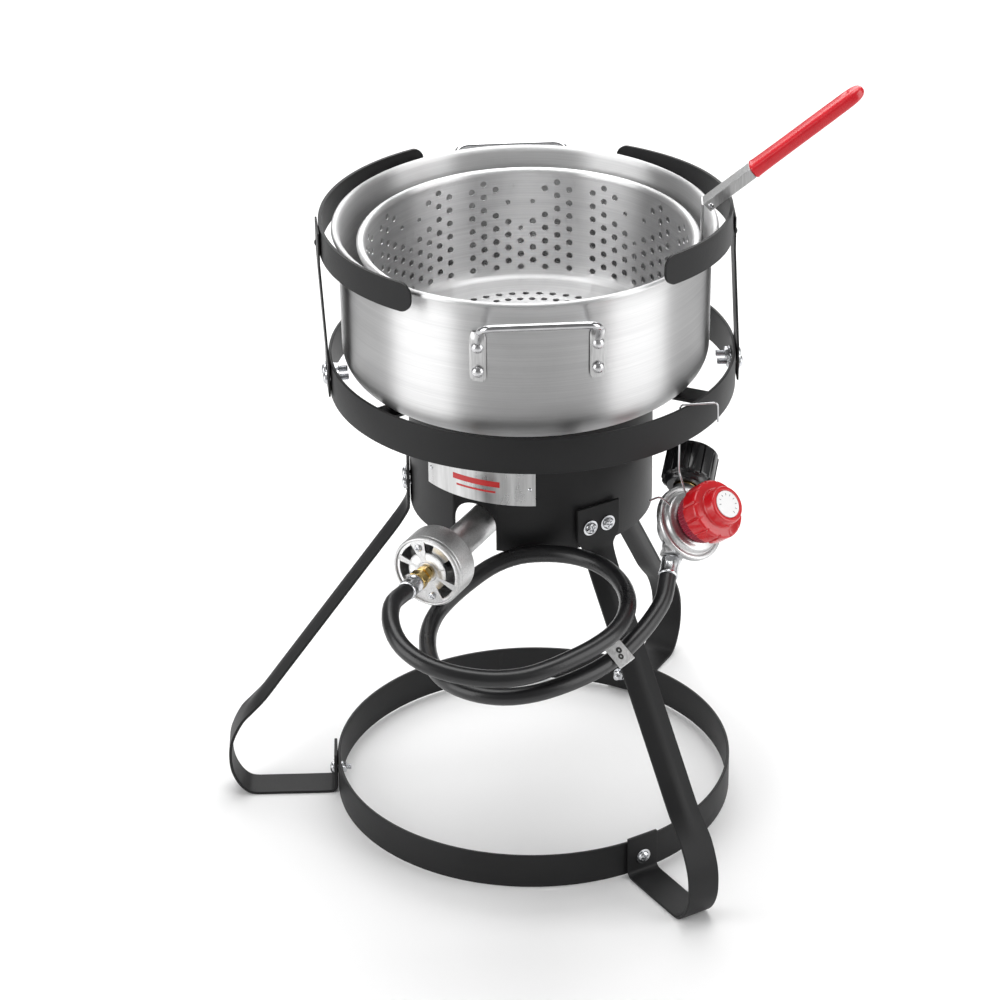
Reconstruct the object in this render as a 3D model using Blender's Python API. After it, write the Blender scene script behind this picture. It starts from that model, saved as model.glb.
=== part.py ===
# Outdoor fish and turkey fryer: low stand with two flat rings, burner in a wind shroud,
# gas hose with adjustable regulator, fry pot and strainer basket.
# Metres, +Z up, floor at z = 0, front towards -Y. Positions below are from the stand's own axis;
# AXIS then places that axis so that the kit without its hose is centred on the origin.
import bpy
import bmesh
import math
from mathutils import Vector, Matrix

for old in list(bpy.data.objects):
    bpy.data.objects.remove(old, do_unlink=True)

# ---------------------------------------------------------------- driving dimensions
GAP = 0.0003                    # clearance between parts that touch
AXIS = (-0.001221, -0.003648)   # stand axis in plan, so that the kit's box is centred on the origin

RING_R = 0.1655                 # outside radius of the bottom ring
TOP_R = 0.1627                  # outside radius of the top ring
TOP_AT = 0.0015                 # its centre, towards +X of the axis
RING_T = 0.0025
RING_H = 0.030
BOTTOM_RING_Z = 0.002
TOP_RING_Z = 0.381

SHROUD_R = 0.0985
SHROUD_T = 0.0015
SHROUD_Z0, SHROUD_Z1 = 0.276, 0.3915
VENT_AZ = -117.5                # burner tube direction
VENT_Z = 0.2925
ARCH_R = 0.0186

BAR_AZ = (-24.0, 96.0, 216.0)
BAR_W, BAR_T = 0.020, 0.0030
BAR_Z = 0.3920

LEG_AZ = (181.8, -58.2, 61.8)
LEG_NAMES = ("left", "front", "rear")
LEG_W, LEG_T = 0.028, 0.0025
LEG_RIDGE_W, LEG_RIDGE = 0.027, 0.0038   # width and height of the folded middle of a leg
PLATE_W = 0.039
LEG_BOLT_Z, LEG_BOLT_OFF = 0.294, 0.0082
RING_BOLT_Z = 0.0170

UPRIGHT_W, UPRIGHT_T = 0.034, 0.0016
UPRIGHT_AZ = {"left": 186.2, "right": 2.3}
UPRIGHT_TOP = {"left": 0.1669, "right": 0.1611}
UPRIGHT_Z0, UPRIGHT_Z1 = 0.3835, 0.526
UPRIGHT_BOLT_Z, UPRIGHT_BOLT_OFF = 0.396, 0.0073
ARC_H = 0.024
ARC_R = {"left": 0.1581, "right": 0.1709}
ARC_AT = {"left": (-0.0077, -0.0013), "right": (-0.0108, -0.0015)}
ARC_Z = {"left": 0.5155, "right": 0.5230}
ARC_SPAN = {"left": (120.1, 238.4), "right": (-48.1, 60.6)}
ARC_TILT = {"left": 0.7, "right": 5.2}

POT_R = 0.1475                  # outside radius of the pot wall
POT_RIM_R = 0.1525
POT_Z0, POT_Z1 = 0.3955, 0.5200
POT_T = 0.0015
POT_CORNER = 0.024
HANDLE_AZ = (-86.2, 93.7)
HANDLE_HALF = 0.0456
HANDLE_OUT = 0.0245
HANDLE_WIRE = 0.0029
HANDLE_Z, BRACKET_Z0, BRACKET_Z1 = 0.5110, 0.4520, 0.4935

POT_AT = (-0.0035, 0.0)         # the pot stands a little off the stand's axis
BASKET_AT = (-0.0006, 0.0)      # and the basket a little off the pot's
BASKET_RIM_R = 0.1353
BASKET_TOP_R = 0.1304
BASKET_BOT_R = 0.1297
BASKET_Z0, BASKET_Z1 = 0.4105, 0.5068
FOOT_R, FOOT_AT, FOOT_AZ = 0.0055, 0.104, (20.0, 140.0, 260.0)
BASKET_T = 0.0012
PIN_X, PIN_Z = 0.1398, 0.5330
CHANNEL_PITCH = 39.0            # handle rises this many degrees
CHANNEL_LEN = 0.046
GRIP_LEN = 0.107

BELL_R = 0.0295
BELL_FACE = 0.1777              # distance of the mixer face from the stand axis
BELL_DEPTH = 0.028
TUBE_R = 0.013
ORIFICE_LEN = 0.0170
FERRULE_LEN = 0.0155
FERRULE_R = 0.0078

HOSE_R = 0.0069
HOSE_ROUTE = [
    (-0.0975, -0.1872, 0.2925), (-0.1071, -0.2057, 0.2925), (-0.1080, -0.2261, 0.2874),
    (-0.1010, -0.2448, 0.2802), (-0.0866, -0.2591, 0.2740), (-0.0677, -0.2682, 0.2696),
    (-0.0470, -0.2724, 0.2665), (-0.0259, -0.2722, 0.2645), (-0.0055, -0.2675, 0.2642),
    (0.0133, -0.2588, 0.2657), (0.0309, -0.2475, 0.2677), (0.0474, -0.2343, 0.2696),
    (0.0616, -0.2187, 0.2718), (0.0710, -0.2001, 0.2746), (0.0742, -0.1796, 0.2775),
    (0.0709, -0.1591, 0.2798), (0.0621, -0.1402, 0.2812), (0.0485, -0.1245, 0.2820),
    (0.0307, -0.1136, 0.2818), (0.0104, -0.1079, 0.2805), (-0.0106, -0.1070, 0.2780),
    (-0.0303, -0.1113, 0.2723), (-0.0478, -0.1204, 0.2641), (-0.0633, -0.1332, 0.2565),
    (-0.0752, -0.1495, 0.2505), (-0.0810, -0.1689, 0.2460), (-0.0814, -0.1898, 0.2433),
    (-0.0780, -0.2106, 0.2421), (-0.0707, -0.2302, 0.2420), (-0.0579, -0.2467, 0.2423),
    (-0.0405, -0.2580, 0.2426), (-0.0203, -0.2628, 0.2431), (0.0003, -0.2606, 0.2443),
    (0.0197, -0.2526, 0.2457), (0.0375, -0.2411, 0.2468), (0.0536, -0.2273, 0.2480),
    (0.0681, -0.2119, 0.2505), (0.0809, -0.1954, 0.2548), (0.0926, -0.1785, 0.2608),
    (0.1022, -0.1613, 0.2686), (0.1063, -0.1438, 0.2789),
]

REG_D = Vector((0.1244, -0.1150, 0.3110))        # middle of the regulator's front rim
REG_K = Vector((0.584, -0.511, 0.630)).normalized()   # knob axis
REG_A = Vector((0.199, 0.842, 0.500)).normalized()    # inlet axis


# ---------------------------------------------------------------- helpers
def material(name, rgb, metal, rough):
    m = bpy.data.materials.new(name)
    m.use_nodes = True
    b = m.node_tree.nodes["Principled BSDF"]
    b.inputs["Base Color"].default_value = (rgb[0], rgb[1], rgb[2], 1)
    b.inputs["Metallic"].default_value = metal
    b.inputs["Roughness"].default_value = rough
    return m


def add(name, verts, faces, look, smooth=False):
    me = bpy.data.meshes.new(name)
    me.from_pydata([(v[0] + AXIS[0], v[1] + AXIS[1], v[2]) for v in verts], [], faces)
    bm = bmesh.new()
    bm.from_mesh(me)
    bmesh.ops.remove_doubles(bm, verts=bm.verts, dist=1e-7)
    bmesh.ops.recalc_face_normals(bm, faces=bm.faces)
    if bm.calc_volume(signed=True) < 0:
        bmesh.ops.reverse_faces(bm, faces=bm.faces)
    bm.to_mesh(me)
    bm.free()
    if look is not None:
        me.materials.append(look)
    ob = bpy.data.objects.new(name, me)
    bpy.context.scene.collection.objects.link(ob)
    return ob


def frame(origin, z_axis, x_hint=(0, 0, 1)):
    z = Vector(z_axis).normalized()
    x = Vector(x_hint) - z * Vector(x_hint).dot(z)
    if x.length < 1e-6:
        x = Vector((1, 0, 0)) - z * z.x
    x.normalize()
    y = z.cross(x)
    m = Matrix((x, y, z)).transposed().to_4x4()
    m.translation = Vector(origin)
    return m


def polar(r, az, z=0.0, off=0.0):
    a = math.radians(az)
    return Vector((r * math.cos(a) - off * math.sin(a), r * math.sin(a) + off * math.cos(a), z))


def revolve(name, profile, n, look, mat=Matrix(), wave=None):
    """Closed (r, z) outline turned about the local z axis."""
    verts, rings = [], []
    for (r, z) in profile:
        if r < 1e-9:
            rings.append([len(verts)])
            verts.append(mat @ Vector((0, 0, z)))
        else:
            ids = []
            for i in range(n):
                a = 2 * math.pi * i / n
                k = wave(i, r, z) if wave else 1.0
                ids.append(len(verts))
                verts.append(mat @ Vector((r * k * math.cos(a), r * k * math.sin(a), z)))
            rings.append(ids)
    faces = []
    m = len(profile)
    for j in range(m):
        a, b = rings[j], rings[(j + 1) % m]
        if len(a) == 1 and len(b) == 1:
            continue
        for i in range(n):
            i2 = (i + 1) % n
            if len(a) == 1:
                faces.append((a[0], b[i], b[i2]))
            elif len(b) == 1:
                faces.append((a[i], a[i2], b[0]))
            else:
                faces.append((a[i], a[i2], b[i2], b[i]))
    return add(name, verts, faces, look)


def stack(name, sections, look, mat):
    """Loft between same-count outlines [(z, [(x, y)...])...], capped at both ends."""
    verts, faces = [], []
    n = len(sections[0][1])
    for z, pts in sections:
        verts += [mat @ Vector((x, y, z)) for x, y in pts]
    for j in range(len(sections) - 1):
        for i in range(n):
            i2 = (i + 1) % n
            faces.append((j * n + i, j * n + i2, (j + 1) * n + i2, (j + 1) * n + i))
    faces.append(tuple(reversed(range(n))))
    faces.append(tuple(range((len(sections) - 1) * n, len(sections) * n)))
    return add(name, verts, faces, look)


def circle(r, n=12, turn=0.0):
    return [(r * math.cos(2 * math.pi * i / n + turn), r * math.sin(2 * math.pi * i / n + turn)) for i in range(n)]


def hexagon(af, n=12):
    out = []
    for i in range(n):
        a = 2 * math.pi * i / n
        k = (af / 2) / math.cos(((a + math.pi / 6) % (math.pi / 3)) - math.pi / 6)
        out.append((k * math.cos(a), k * math.sin(a)))
    return out


def bolt(name, head_at, axis, grip, look, head_r=0.0052, shank=0.0024, nut_af=0.0085, tail=0.004):
    """Washer-head screw with its nut: head outside, grip = thickness clamped."""
    m = frame(head_at, axis)
    g = grip
    s = [(-0.0036, circle(head_r * 0.70)), (-0.0012, circle(head_r)), (0.0, circle(head_r * 1.25)),
         (0.0, circle(shank)), (g, circle(shank)),
         (g, hexagon(nut_af)), (g + 0.004, hexagon(nut_af)), (g + 0.004, circle(shank)),
         (g + 0.004 + tail, circle(shank))]
    return stack(name, s, look, m)


def band(name, r_in, r_out, z0, z1, n, look):
    return revolve(name, [(r_in, z0), (r_out, z0), (r_out, z1), (r_in, z1)], n, look)


def cutter(name, verts, faces):
    ob = add(name, verts, faces, None)
    ob.hide_render = True
    ob.display_type = 'WIRE'
    return ob


def cut_round(target, at, axis, r, depth, n=16):
    m = frame(Vector(at) - Vector(axis).normalized() * depth / 2, axis)
    c = stack("cut", [(0, circle(r, n)), (depth, circle(r, n))], None, m)
    c.hide_render = True
    c.display_type = 'WIRE'
    apply_cut(target, c)


def apply_cut(target, c):
    mod = target.modifiers.new("cut", 'BOOLEAN')
    mod.operation = 'DIFFERENCE'
    mod.solver = 'EXACT'
    mod.object = c


def strip(name, path, width, thick, mat, look, widths=None):
    """Flat bar bent along a 2D path (u, v) in the local x-z plane, width along local y."""
    n = len(path)
    left, right = [], []
    for i, (u, v) in enumerate(path):
        d1 = Vector((path[i][0] - path[i - 1][0], path[i][1] - path[i - 1][1])) if i else None
        d2 = Vector((path[i + 1][0] - path[i][0], path[i + 1][1] - path[i][1])) if i < n - 1 else None
        if d1 is None:
            d1 = d2
        if d2 is None:
            d2 = d1
        d1.normalize()
        d2.normalize()
        t = (d1 + d2).normalized()
        nrm = Vector((-t.y, t.x))
        k = thick / 2 / max(0.5, nrm.dot(Vector((-d1.y, d1.x))))
        left.append((u + nrm.x * k, v + nrm.y * k))
        right.append((u - nrm.x * k, v - nrm.y * k))
    verts = []
    for i in range(n):
        w = (widths[i] if widths else width) / 2
        for (u, v), y in ((left[i], -w), (left[i], w), (right[i], w), (right[i], -w)):
            verts.append(mat @ Vector((u, y, v)))
    faces = []
    for i in range(n - 1):
        for j in range(4):
            faces.append((i * 4 + j, i * 4 + (j + 1) % 4, (i + 1) * 4 + (j + 1) % 4, (i + 1) * 4 + j))
    faces.append((3, 2, 1, 0))
    faces.append(tuple(range(4 * n - 4, 4 * n)))
    return add(name, verts, faces, look)


def folded_strip(name, path, thick, mat, look, widths):
    """Flat bar bent along (u, v, fold): the fold lifts its middle into a lengthwise ridge."""
    n = len(path)
    verts = []
    for i, (u, v, fold) in enumerate(path):
        a, b = path[max(i - 1, 0)], path[min(i + 1, n - 1)]
        p, q = Vector((u - a[0], v - a[1])), Vector((b[0] - u, b[1] - v))
        p = q if p.length < 1e-9 else p
        q = p if q.length < 1e-9 else q
        p.normalize()
        q.normalize()
        t = (p + q).normalized()
        nrm = Vector((-t.y, t.x))
        k = thick / 2 / max(0.5, nrm.dot(Vector((-p.y, p.x))))
        w = widths[i] / 2
        d = fold * LEG_RIDGE
        for y, off in ((-w, k - d), (0, k), (w, k - d), (w, -k - d), (0, -k), (-w, -k - d)):
            verts.append(mat @ Vector((u + nrm.x * off, y, v + nrm.y * off)))
    faces = []
    for i in range(n - 1):
        for j in range(6):
            j2 = (j + 1) % 6
            faces.append((i * 6 + j, i * 6 + j2, (i + 1) * 6 + j2, (i + 1) * 6 + j))
    faces.append((5, 4, 3, 2, 1, 0))
    faces.append(tuple(range(6 * n - 6, 6 * n)))
    return add(name, verts, faces, look)


def fillet(points, radius, steps=5):
    """Round the corners of a 3D polyline."""
    pts = [Vector(p) for p in points]
    out = [pts[0]]
    for i in range(1, len(pts) - 1):
        a, b, c = pts[i - 1], pts[i], pts[i + 1]
        u, v = (a - b), (c - b)
        r = min(radius, u.length * 0.45, v.length * 0.45)
        p, q = b + u.normalized() * r, b + v.normalized() * r
        for s in range(steps + 1):
            t = s / steps
            out.append(p * (1 - t) ** 2 + b * 2 * t * (1 - t) + q * t ** 2)
    out.append(pts[-1])
    return out


def wire(name, path, r, n, look):
    pts = [Vector(p) for p in path]
    tang = []
    for i in range(len(pts)):
        a = pts[max(i - 1, 0)]
        b = pts[min(i + 1, len(pts) - 1)]
        tang.append((b - a).normalized())
    ref = Vector((0, 0, 1)) if abs(tang[0].z) < 0.9 else Vector((1, 0, 0))
    x = (ref - tang[0] * ref.dot(tang[0])).normalized()
    verts, faces = [], []
    for p, t in zip(pts, tang):
        x = (x - t * x.dot(t)).normalized()
        y = t.cross(x)
        for i in range(n):
            a = 2 * math.pi * i / n
            verts.append(p + x * (r * math.cos(a)) + y * (r * math.sin(a)))
    for j in range(len(pts) - 1):
        for i in range(n):
            i2 = (i + 1) % n
            faces.append((j * n + i, j * n + i2, (j + 1) * n + i2, (j + 1) * n + i))
    faces.append(tuple(reversed(range(n))))
    faces.append(tuple(range((len(pts) - 1) * n, len(pts) * n)))
    return add(name, verts, faces, look)


def smooth_route(points, step):
    """Points at even spacing on one smooth curve through the route."""
    p = [Vector(q) for q in points]
    p = [p[0] * 2 - p[1]] + p + [p[-1] * 2 - p[-2]]
    fine = []
    for i in range(1, len(p) - 2):
        for s in range(24):
            t = s / 24
            a, b, c, d = p[i - 1], p[i], p[i + 1], p[i + 2]
            fine.append(0.5 * ((2 * b) + (c - a) * t + (2 * a - 5 * b + 4 * c - d) * t * t
                               + (3 * b - a - 3 * c + d) * t ** 3))
    fine.append(p[-2])
    length = [0.0]
    for i in range(1, len(fine)):
        length.append(length[-1] + (fine[i] - fine[i - 1]).length)
    count = max(4, int(round(length[-1] / step)))
    out, j = [], 0
    for k in range(count + 1):
        want = length[-1] * k / count
        while j < len(length) - 2 and length[j + 1] < want:
            j += 1
        f = (want - length[j]) / max(1e-9, length[j + 1] - length[j])
        out.append(fine[j].lerp(fine[j + 1], min(1.0, f)))
    return out


# ---------------------------------------------------------------- looks
BLACK = material("black_coat", (0.018, 0.018, 0.019), 0.0, 0.55)
ZINC = material("zinc_plate", (0.72, 0.72, 0.73), 1.0, 0.25)
ALU = material("spun_aluminium", (0.78, 0.78, 0.79), 1.0, 0.28)
CAST = material("cast_aluminium", (0.55, 0.55, 0.56), 1.0, 0.5)
IRON = material("cast_iron", (0.05, 0.05, 0.052), 0.6, 0.7)
CHROME = material("chrome_wire", (0.85, 0.85, 0.86), 1.0, 0.08)
BRASS = material("brass", (0.72, 0.50, 0.18), 1.0, 0.25)
RUBBER = material("hose_rubber", (0.014, 0.014, 0.015), 0.0, 0.4)
PLATE = material("brushed_plate", (0.70, 0.70, 0.71), 1.0, 0.35)
RED = material("red_plastic", (0.65, 0.02, 0.03), 0.0, 0.3)
VINYL = material("red_vinyl", (0.72, 0.015, 0.03), 0.0, 0.35)
NUTBLK = material("black_nut_plastic", (0.015, 0.015, 0.016), 0.0, 0.25)
WHITE = material("white_label", (0.85, 0.85, 0.85), 0.0, 0.5)


# ---------------------------------------------------------------- stand
def rings():
    low = band("bottom_ring", RING_R - RING_T, RING_R, BOTTOM_RING_Z, BOTTOM_RING_Z + RING_H, 80, BLACK)
    for az in LEG_AZ:
        cut_round(low, polar(RING_R, az, RING_BOLT_Z), polar(1, az), 0.0029, 0.012, 12)
    top = band("top_ring", TOP_R - RING_T, TOP_R, TOP_RING_Z, TOP_RING_Z + RING_H, 80, BLACK)
    top.data.transform(Matrix.Translation((TOP_AT, 0, 0)))
    for az in UPRIGHT_AZ.values():
        for off in (-UPRIGHT_BOLT_OFF, UPRIGHT_BOLT_OFF):
            cut_round(top, polar(top_radius(az), az, UPRIGHT_BOLT_Z, off), polar(1, az), 0.0032, 0.016, 12)


def top_radius(az):
    """Outside of the top ring, measured from the stand's axis at this azimuth."""
    a = math.radians(az)
    return TOP_AT * math.cos(a) + math.sqrt(TOP_R ** 2 - (TOP_AT * math.sin(a)) ** 2)


def shroud():
    s = band("wind_shroud", SHROUD_R - SHROUD_T, SHROUD_R, SHROUD_Z0, SHROUD_Z1, 64, BLACK)
    spring = VENT_Z + 0.004
    pts = [(-ARCH_R, SHROUD_Z0 - 0.01 - spring), (ARCH_R, SHROUD_Z0 - 0.01 - spring)]
    pts += [(ARCH_R * math.cos(math.pi * i / 12), ARCH_R * math.sin(math.pi * i / 12)) for i in range(13)]
    m = frame(polar(SHROUD_R - 0.02, VENT_AZ, spring), polar(1, VENT_AZ), (0, 0, 1))
    pts = [(z, x) for x, z in pts]
    c = stack("cut_arch", [(0, pts), (0.04, pts)], None, m)
    c.hide_render = True
    c.display_type = 'WIRE'
    apply_cut(s, c)
    for az in LEG_AZ:
        for off in (-LEG_BOLT_OFF, LEG_BOLT_OFF):
            cut_round(s, polar(SHROUD_R, az, LEG_BOLT_Z, off), polar(1, az), 0.0029, 0.012, 12)


def support_bars():
    for i, az in enumerate(BAR_AZ):
        m = Matrix.Rotation(math.radians(az), 4, 'Z')
        z = BAR_Z + BAR_T / 2
        r1 = math.sqrt((top_radius(az) - RING_T) ** 2 - (BAR_W / 2) ** 2) - 1.6 * GAP
        strip("support_bar_%d" % (i + 1), [(0.086, z), (r1, z)], BAR_W, BAR_T, m, BLACK)


def leg_path():
    r0 = SHROUD_R + GAP + LEG_T / 2
    r1 = RING_R + GAP + LEG_T / 2
    t = LEG_T / 2
    p = [(r0, 0.3120, 0), (r0, 0.2810, 0), (r0 + 0.0008, 0.2765, 0.2), (r0 + 0.0032, 0.2715, 0.6),
         (r0 + 0.0125, 0.2585, 1.0)]
    p += [(0.2270, 0.0965, 1.0), (0.2365, 0.0830, 0.5), (0.2440, 0.0720, 0.0), (0.2500, 0.0610, 0), (0.2542, 0.0490, 0),
          (0.2553, 0.0360, 0), (0.2538, 0.0230, 0), (0.2485, 0.0110, 0), (0.2415, 0.0035, 0), (0.2330, t, 0)]
    p += [(r1 + 0.0080, t, 0), (r1 + 0.0028, t + 0.0008, 0), (r1 + 0.0006, t + 0.0030, 0), (r1, t + 0.0075, 0),
          (r1, 0.0370, 0)]
    return p


def legs():
    path = leg_path()
    widths = []
    for i, (r, z, k) in enumerate(path):
        widths.append(PLATE_W if i < 2 else LEG_W + (LEG_RIDGE_W - LEG_W) * k)
    for name, az in zip(LEG_NAMES, LEG_AZ):
        m = Matrix.Rotation(math.radians(az), 4, 'Z')
        leg = folded_strip("leg_" + name, path, LEG_T, m, BLACK, widths)
        for off in (-LEG_BOLT_OFF, LEG_BOLT_OFF):
            cut_round(leg, polar(SHROUD_R + 0.002, az, LEG_BOLT_Z, off), polar(1, az), 0.0029, 0.012, 12)
        cut_round(leg, polar(RING_R + 0.002, az, RING_BOLT_Z), polar(1, az), 0.0029, 0.012, 12)
        k = 0
        for off in (-LEG_BOLT_OFF, LEG_BOLT_OFF):
            k += 1
            h = polar(SHROUD_R + GAP + LEG_T + GAP, az, LEG_BOLT_Z, off)
            bolt("bolt_leg_%s_%d" % (name, k), h, -polar(1, az), LEG_T + SHROUD_T + 0.0016, ZINC)
        h = polar(RING_R + GAP + LEG_T + GAP, az, RING_BOLT_Z)
        bolt("bolt_foot_" + name, h, -polar(1, az), LEG_T + RING_T + 4 * GAP, ZINC)


def uprights():
    for side, az in UPRIGHT_AZ.items():
        x = top_radius(az) + GAP + UPRIGHT_T / 2
        xt = UPRIGHT_TOP[side]
        m = Matrix.Rotation(math.radians(az), 4, 'Z')
        u = strip("upright_" + side, [(x, UPRIGHT_Z0), (x, 0.4125), (xt, 0.4985), (xt, UPRIGHT_Z1)], UPRIGHT_W, UPRIGHT_T,
                  m, BLACK)
        k = 0
        for off in (-UPRIGHT_BOLT_OFF, UPRIGHT_BOLT_OFF):
            k += 1
            cut_round(u, polar(x, az, UPRIGHT_BOLT_Z, off), polar(1, az), 0.0032, 0.012, 12)
            bolt("bolt_upright_%s_%d" % (side, k), polar(x + UPRIGHT_T / 2 + GAP, az, UPRIGHT_BOLT_Z, off),
                 -polar(1, az), UPRIGHT_T + RING_T + 4 * GAP + 0.0005, ZINC, head_r=0.0055, shank=0.0027, nut_af=0.010,
                 tail=0.0075)
        arc(side)


def arc(side):
    a0, a1 = ARC_SPAN[side]
    n = 32
    tilt = math.radians(ARC_TILT[side])
    verts = []
    half = ARC_H / 2
    ro, ri = ARC_R[side], ARC_R[side] - RING_T
    cx, cy = ARC_AT[side]
    corner = math.degrees(0.010 / ro)
    for i in range(n + 1):
        if i <= 4:
            a = a0 + corner * (1 - math.cos(i / 4 * math.pi / 2))
            h = half - 0.010 + 0.010 * math.sin(i / 4 * math.pi / 2)
        elif i >= n - 4:
            a = a1 - corner * (1 - math.cos((n - i) / 4 * math.pi / 2))
            h = half - 0.010 + 0.010 * math.sin((n - i) / 4 * math.pi / 2)
        else:
            f = (i - 4) / (n - 8)
            a = a0 + corner + (a1 - a0 - 2 * corner) * f
            h = half
        for r, s in ((ri, -1), (ro, -1), (ro, 1), (ri, 1)):
            p = polar(r, a, s * h)
            z = p.z * math.cos(tilt) - p.y * math.sin(tilt)
            y = p.y * math.cos(tilt) + p.z * math.sin(tilt)
            verts.append(Vector((p.x + cx, y + cy, ARC_Z[side] + z)))
    faces = []
    for i in range(n):
        for j in range(4):
            faces.append((i * 4 + j, i * 4 + (j + 1) % 4, (i + 1) * 4 + (j + 1) % 4, (i + 1) * 4 + j))
    faces.append((3, 2, 1, 0))
    faces.append((4 * n, 4 * n + 1, 4 * n + 2, 4 * n + 3))
    add("retaining_arc_" + side, verts, faces, BLACK)


def nameplate():
    a0, a1 = -145.5, -88.0
    n = 16
    verts = []
    for i in range(n + 1):
        a = a0 + (a1 - a0) * i / n
        for r, z in ((SHROUD_R + GAP, 0.3185), (SHROUD_R + GAP + 0.0006, 0.3185),
                     (SHROUD_R + GAP + 0.0006, 0.3480), (SHROUD_R + GAP, 0.3480)):
            verts.append(polar(r, a, z))
    faces = []
    for i in range(n):
        for j in range(4):
            faces.append((i * 4 + j, i * 4 + (j + 1) % 4, (i + 1) * 4 + (j + 1) % 4, (i + 1) * 4 + j))
    faces.append((3, 2, 1, 0))
    faces.append((4 * n, 4 * n + 1, 4 * n + 2, 4 * n + 3))
    add("nameplate", verts, faces, PLATE)


# ---------------------------------------------------------------- burner
def burner():
    m = frame((0, 0, 0), (0, 0, 1), (1, 0, 0))
    prof = [(0.0, 0.3300), (0.020, 0.3300), (0.024, 0.3330), (0.048, 0.3440), (0.052, 0.3490), (0.052, 0.3590),
            (0.046, 0.3640), (0.030, 0.3670), (0.0, 0.3680)]
    revolve("burner_head", prof, 32, IRON, m,
            wave=lambda i, r, z: 1.0 if (i % 2 == 0 or r < 0.045) else 0.955)
    d = polar(1, VENT_AZ)
    face = BELL_FACE
    # tube under the head, opening into the mixer bell
    back = face - BELL_DEPTH
    m = frame(polar(0, VENT_AZ, VENT_Z), d, (0, 0, 1))
    t = 0.0022
    prof = [(0.0, 0.0), (0.012, 0.0), (TUBE_R, 0.003), (TUBE_R, back - 0.0075), (TUBE_R + 0.003, back - 0.004),
            (BELL_R - 0.004, back), (BELL_R, back + 0.0035), (BELL_R, face - 0.001), (BELL_R - 0.001, face),
            (BELL_R - t, face), (BELL_R - t, face - 0.0016), (BELL_R - t, face - 0.0046), (BELL_R - t, back + 0.004),
            (TUBE_R, back), (TUBE_R - t, back - 0.004), (TUBE_R - t, 0.006), (0.0, 0.006)]
    # inside skin from the face back into the tube
    body = revolve("burner_tube", prof, 36, CAST, m)
    return body


def face_plate():
    """Front wall of the mixer bell with its air windows."""
    d = polar(1, VENT_AZ)
    z0, z1 = BELL_FACE - 0.0034, BELL_FACE - 0.0014
    m = frame(polar(0, VENT_AZ, VENT_Z), d, (0, 0, 1))
    ro = BELL_R - 0.0022 - GAP
    plate = revolve("mixer_face", [(0.0052, z0), (ro, z0), (ro, z1), (0.0052, z1)], 32, CAST, m)
    for k, (a0, a1) in enumerate(FACE_WINDOWS):
        sector_cut(plate, m, 0.0165, 0.0245, a0, a1, z0 - 0.003, z1 + 0.003)
    for a in SCREW_ANG:
        at = m @ (Vector((math.sin(math.radians(a)) * 0.0208, -math.cos(math.radians(a)) * 0.0208, z0)))
        cut_round(plate, at, d, 0.0018, 0.014, 12)


FACE_WINDOWS = ((125, 158), (172, 212), (-15, 95), (-58, -28))
SCREW_ANG = (111.0, 281.0)


def sector_cut(target, m, r0, r1, a0, a1, z0, z1):
    """Angles run from the right of the face upwards, seen from outside."""
    n = max(3, int(abs(a1 - a0) / 9))
    outer = [(r1, a0 + (a1 - a0) * i / n) for i in range(n + 1)]
    inner = [(r0, a1 - (a1 - a0) * i / n) for i in range(n + 1)]
    pts = [(r * math.sin(math.radians(a)), -r * math.cos(math.radians(a))) for r, a in outer + inner]
    c = stack("cut_sector", [(z0, pts), (z1, pts)], None, m)
    c.hide_render = True
    c.display_type = 'WIRE'
    apply_cut(target, c)


def air_shutter():
    d = polar(1, VENT_AZ)
    z0, z1 = BELL_FACE - 0.0050, BELL_FACE - 0.0038
    m = frame(polar(0, VENT_AZ, VENT_Z), d, (0, 0, 1))
    pts = []
    lobes = ((38, 78), (205, 245))
    steps = 36
    for i in range(steps):
        a = 360.0 * i / steps
        inside = any(l0 - 1 <= a <= l1 + 1 for l0, l1 in lobes)
        r = 0.0255 if inside else 0.0155
        pts.append((r * math.sin(math.radians(a)), -r * math.cos(math.radians(a))))
    inner = [(0.0056 * math.sin(2 * math.pi * i / steps), -0.0056 * math.cos(2 * math.pi * i / steps)) for i in range(steps)]
    verts, faces = [], []
    for z in (z0, z1):
        for x, y in pts:
            verts.append(m @ Vector((x, y, z)))
        for x, y in inner:
            verts.append(m @ Vector((x, y, z)))
    n = steps
    for i in range(n):
        j = (i + 1) % n
        faces.append((i, j, 2 * n + j, 2 * n + i))
        faces.append((n + j, n + i, 3 * n + i, 3 * n + j))
        faces.append((2 * n + i, 2 * n + j, 3 * n + j, 3 * n + i))
        faces.append((j, i, n + i, n + j))
    add("air_shutter", verts, faces, PLATE)


def face_screws():
    d = polar(1, VENT_AZ)
    m = frame(polar(0, VENT_AZ, VENT_Z), d, (0, 0, 1))
    for k, a in enumerate(SCREW_ANG):
        at = m @ Vector((math.sin(math.radians(a)) * 0.0208, -math.cos(math.radians(a)) * 0.0208, BELL_FACE - 0.0014 + GAP))
        mm = frame(at, d)
        stack("shutter_screw_%d" % (k + 1), [(-0.0060, circle(0.0015)), (0.0, circle(0.0015)), (0.0, circle(0.0030)),
              (0.0012, circle(0.0029)), (0.0019, circle(0.0018))], ZINC, mm)


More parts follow.
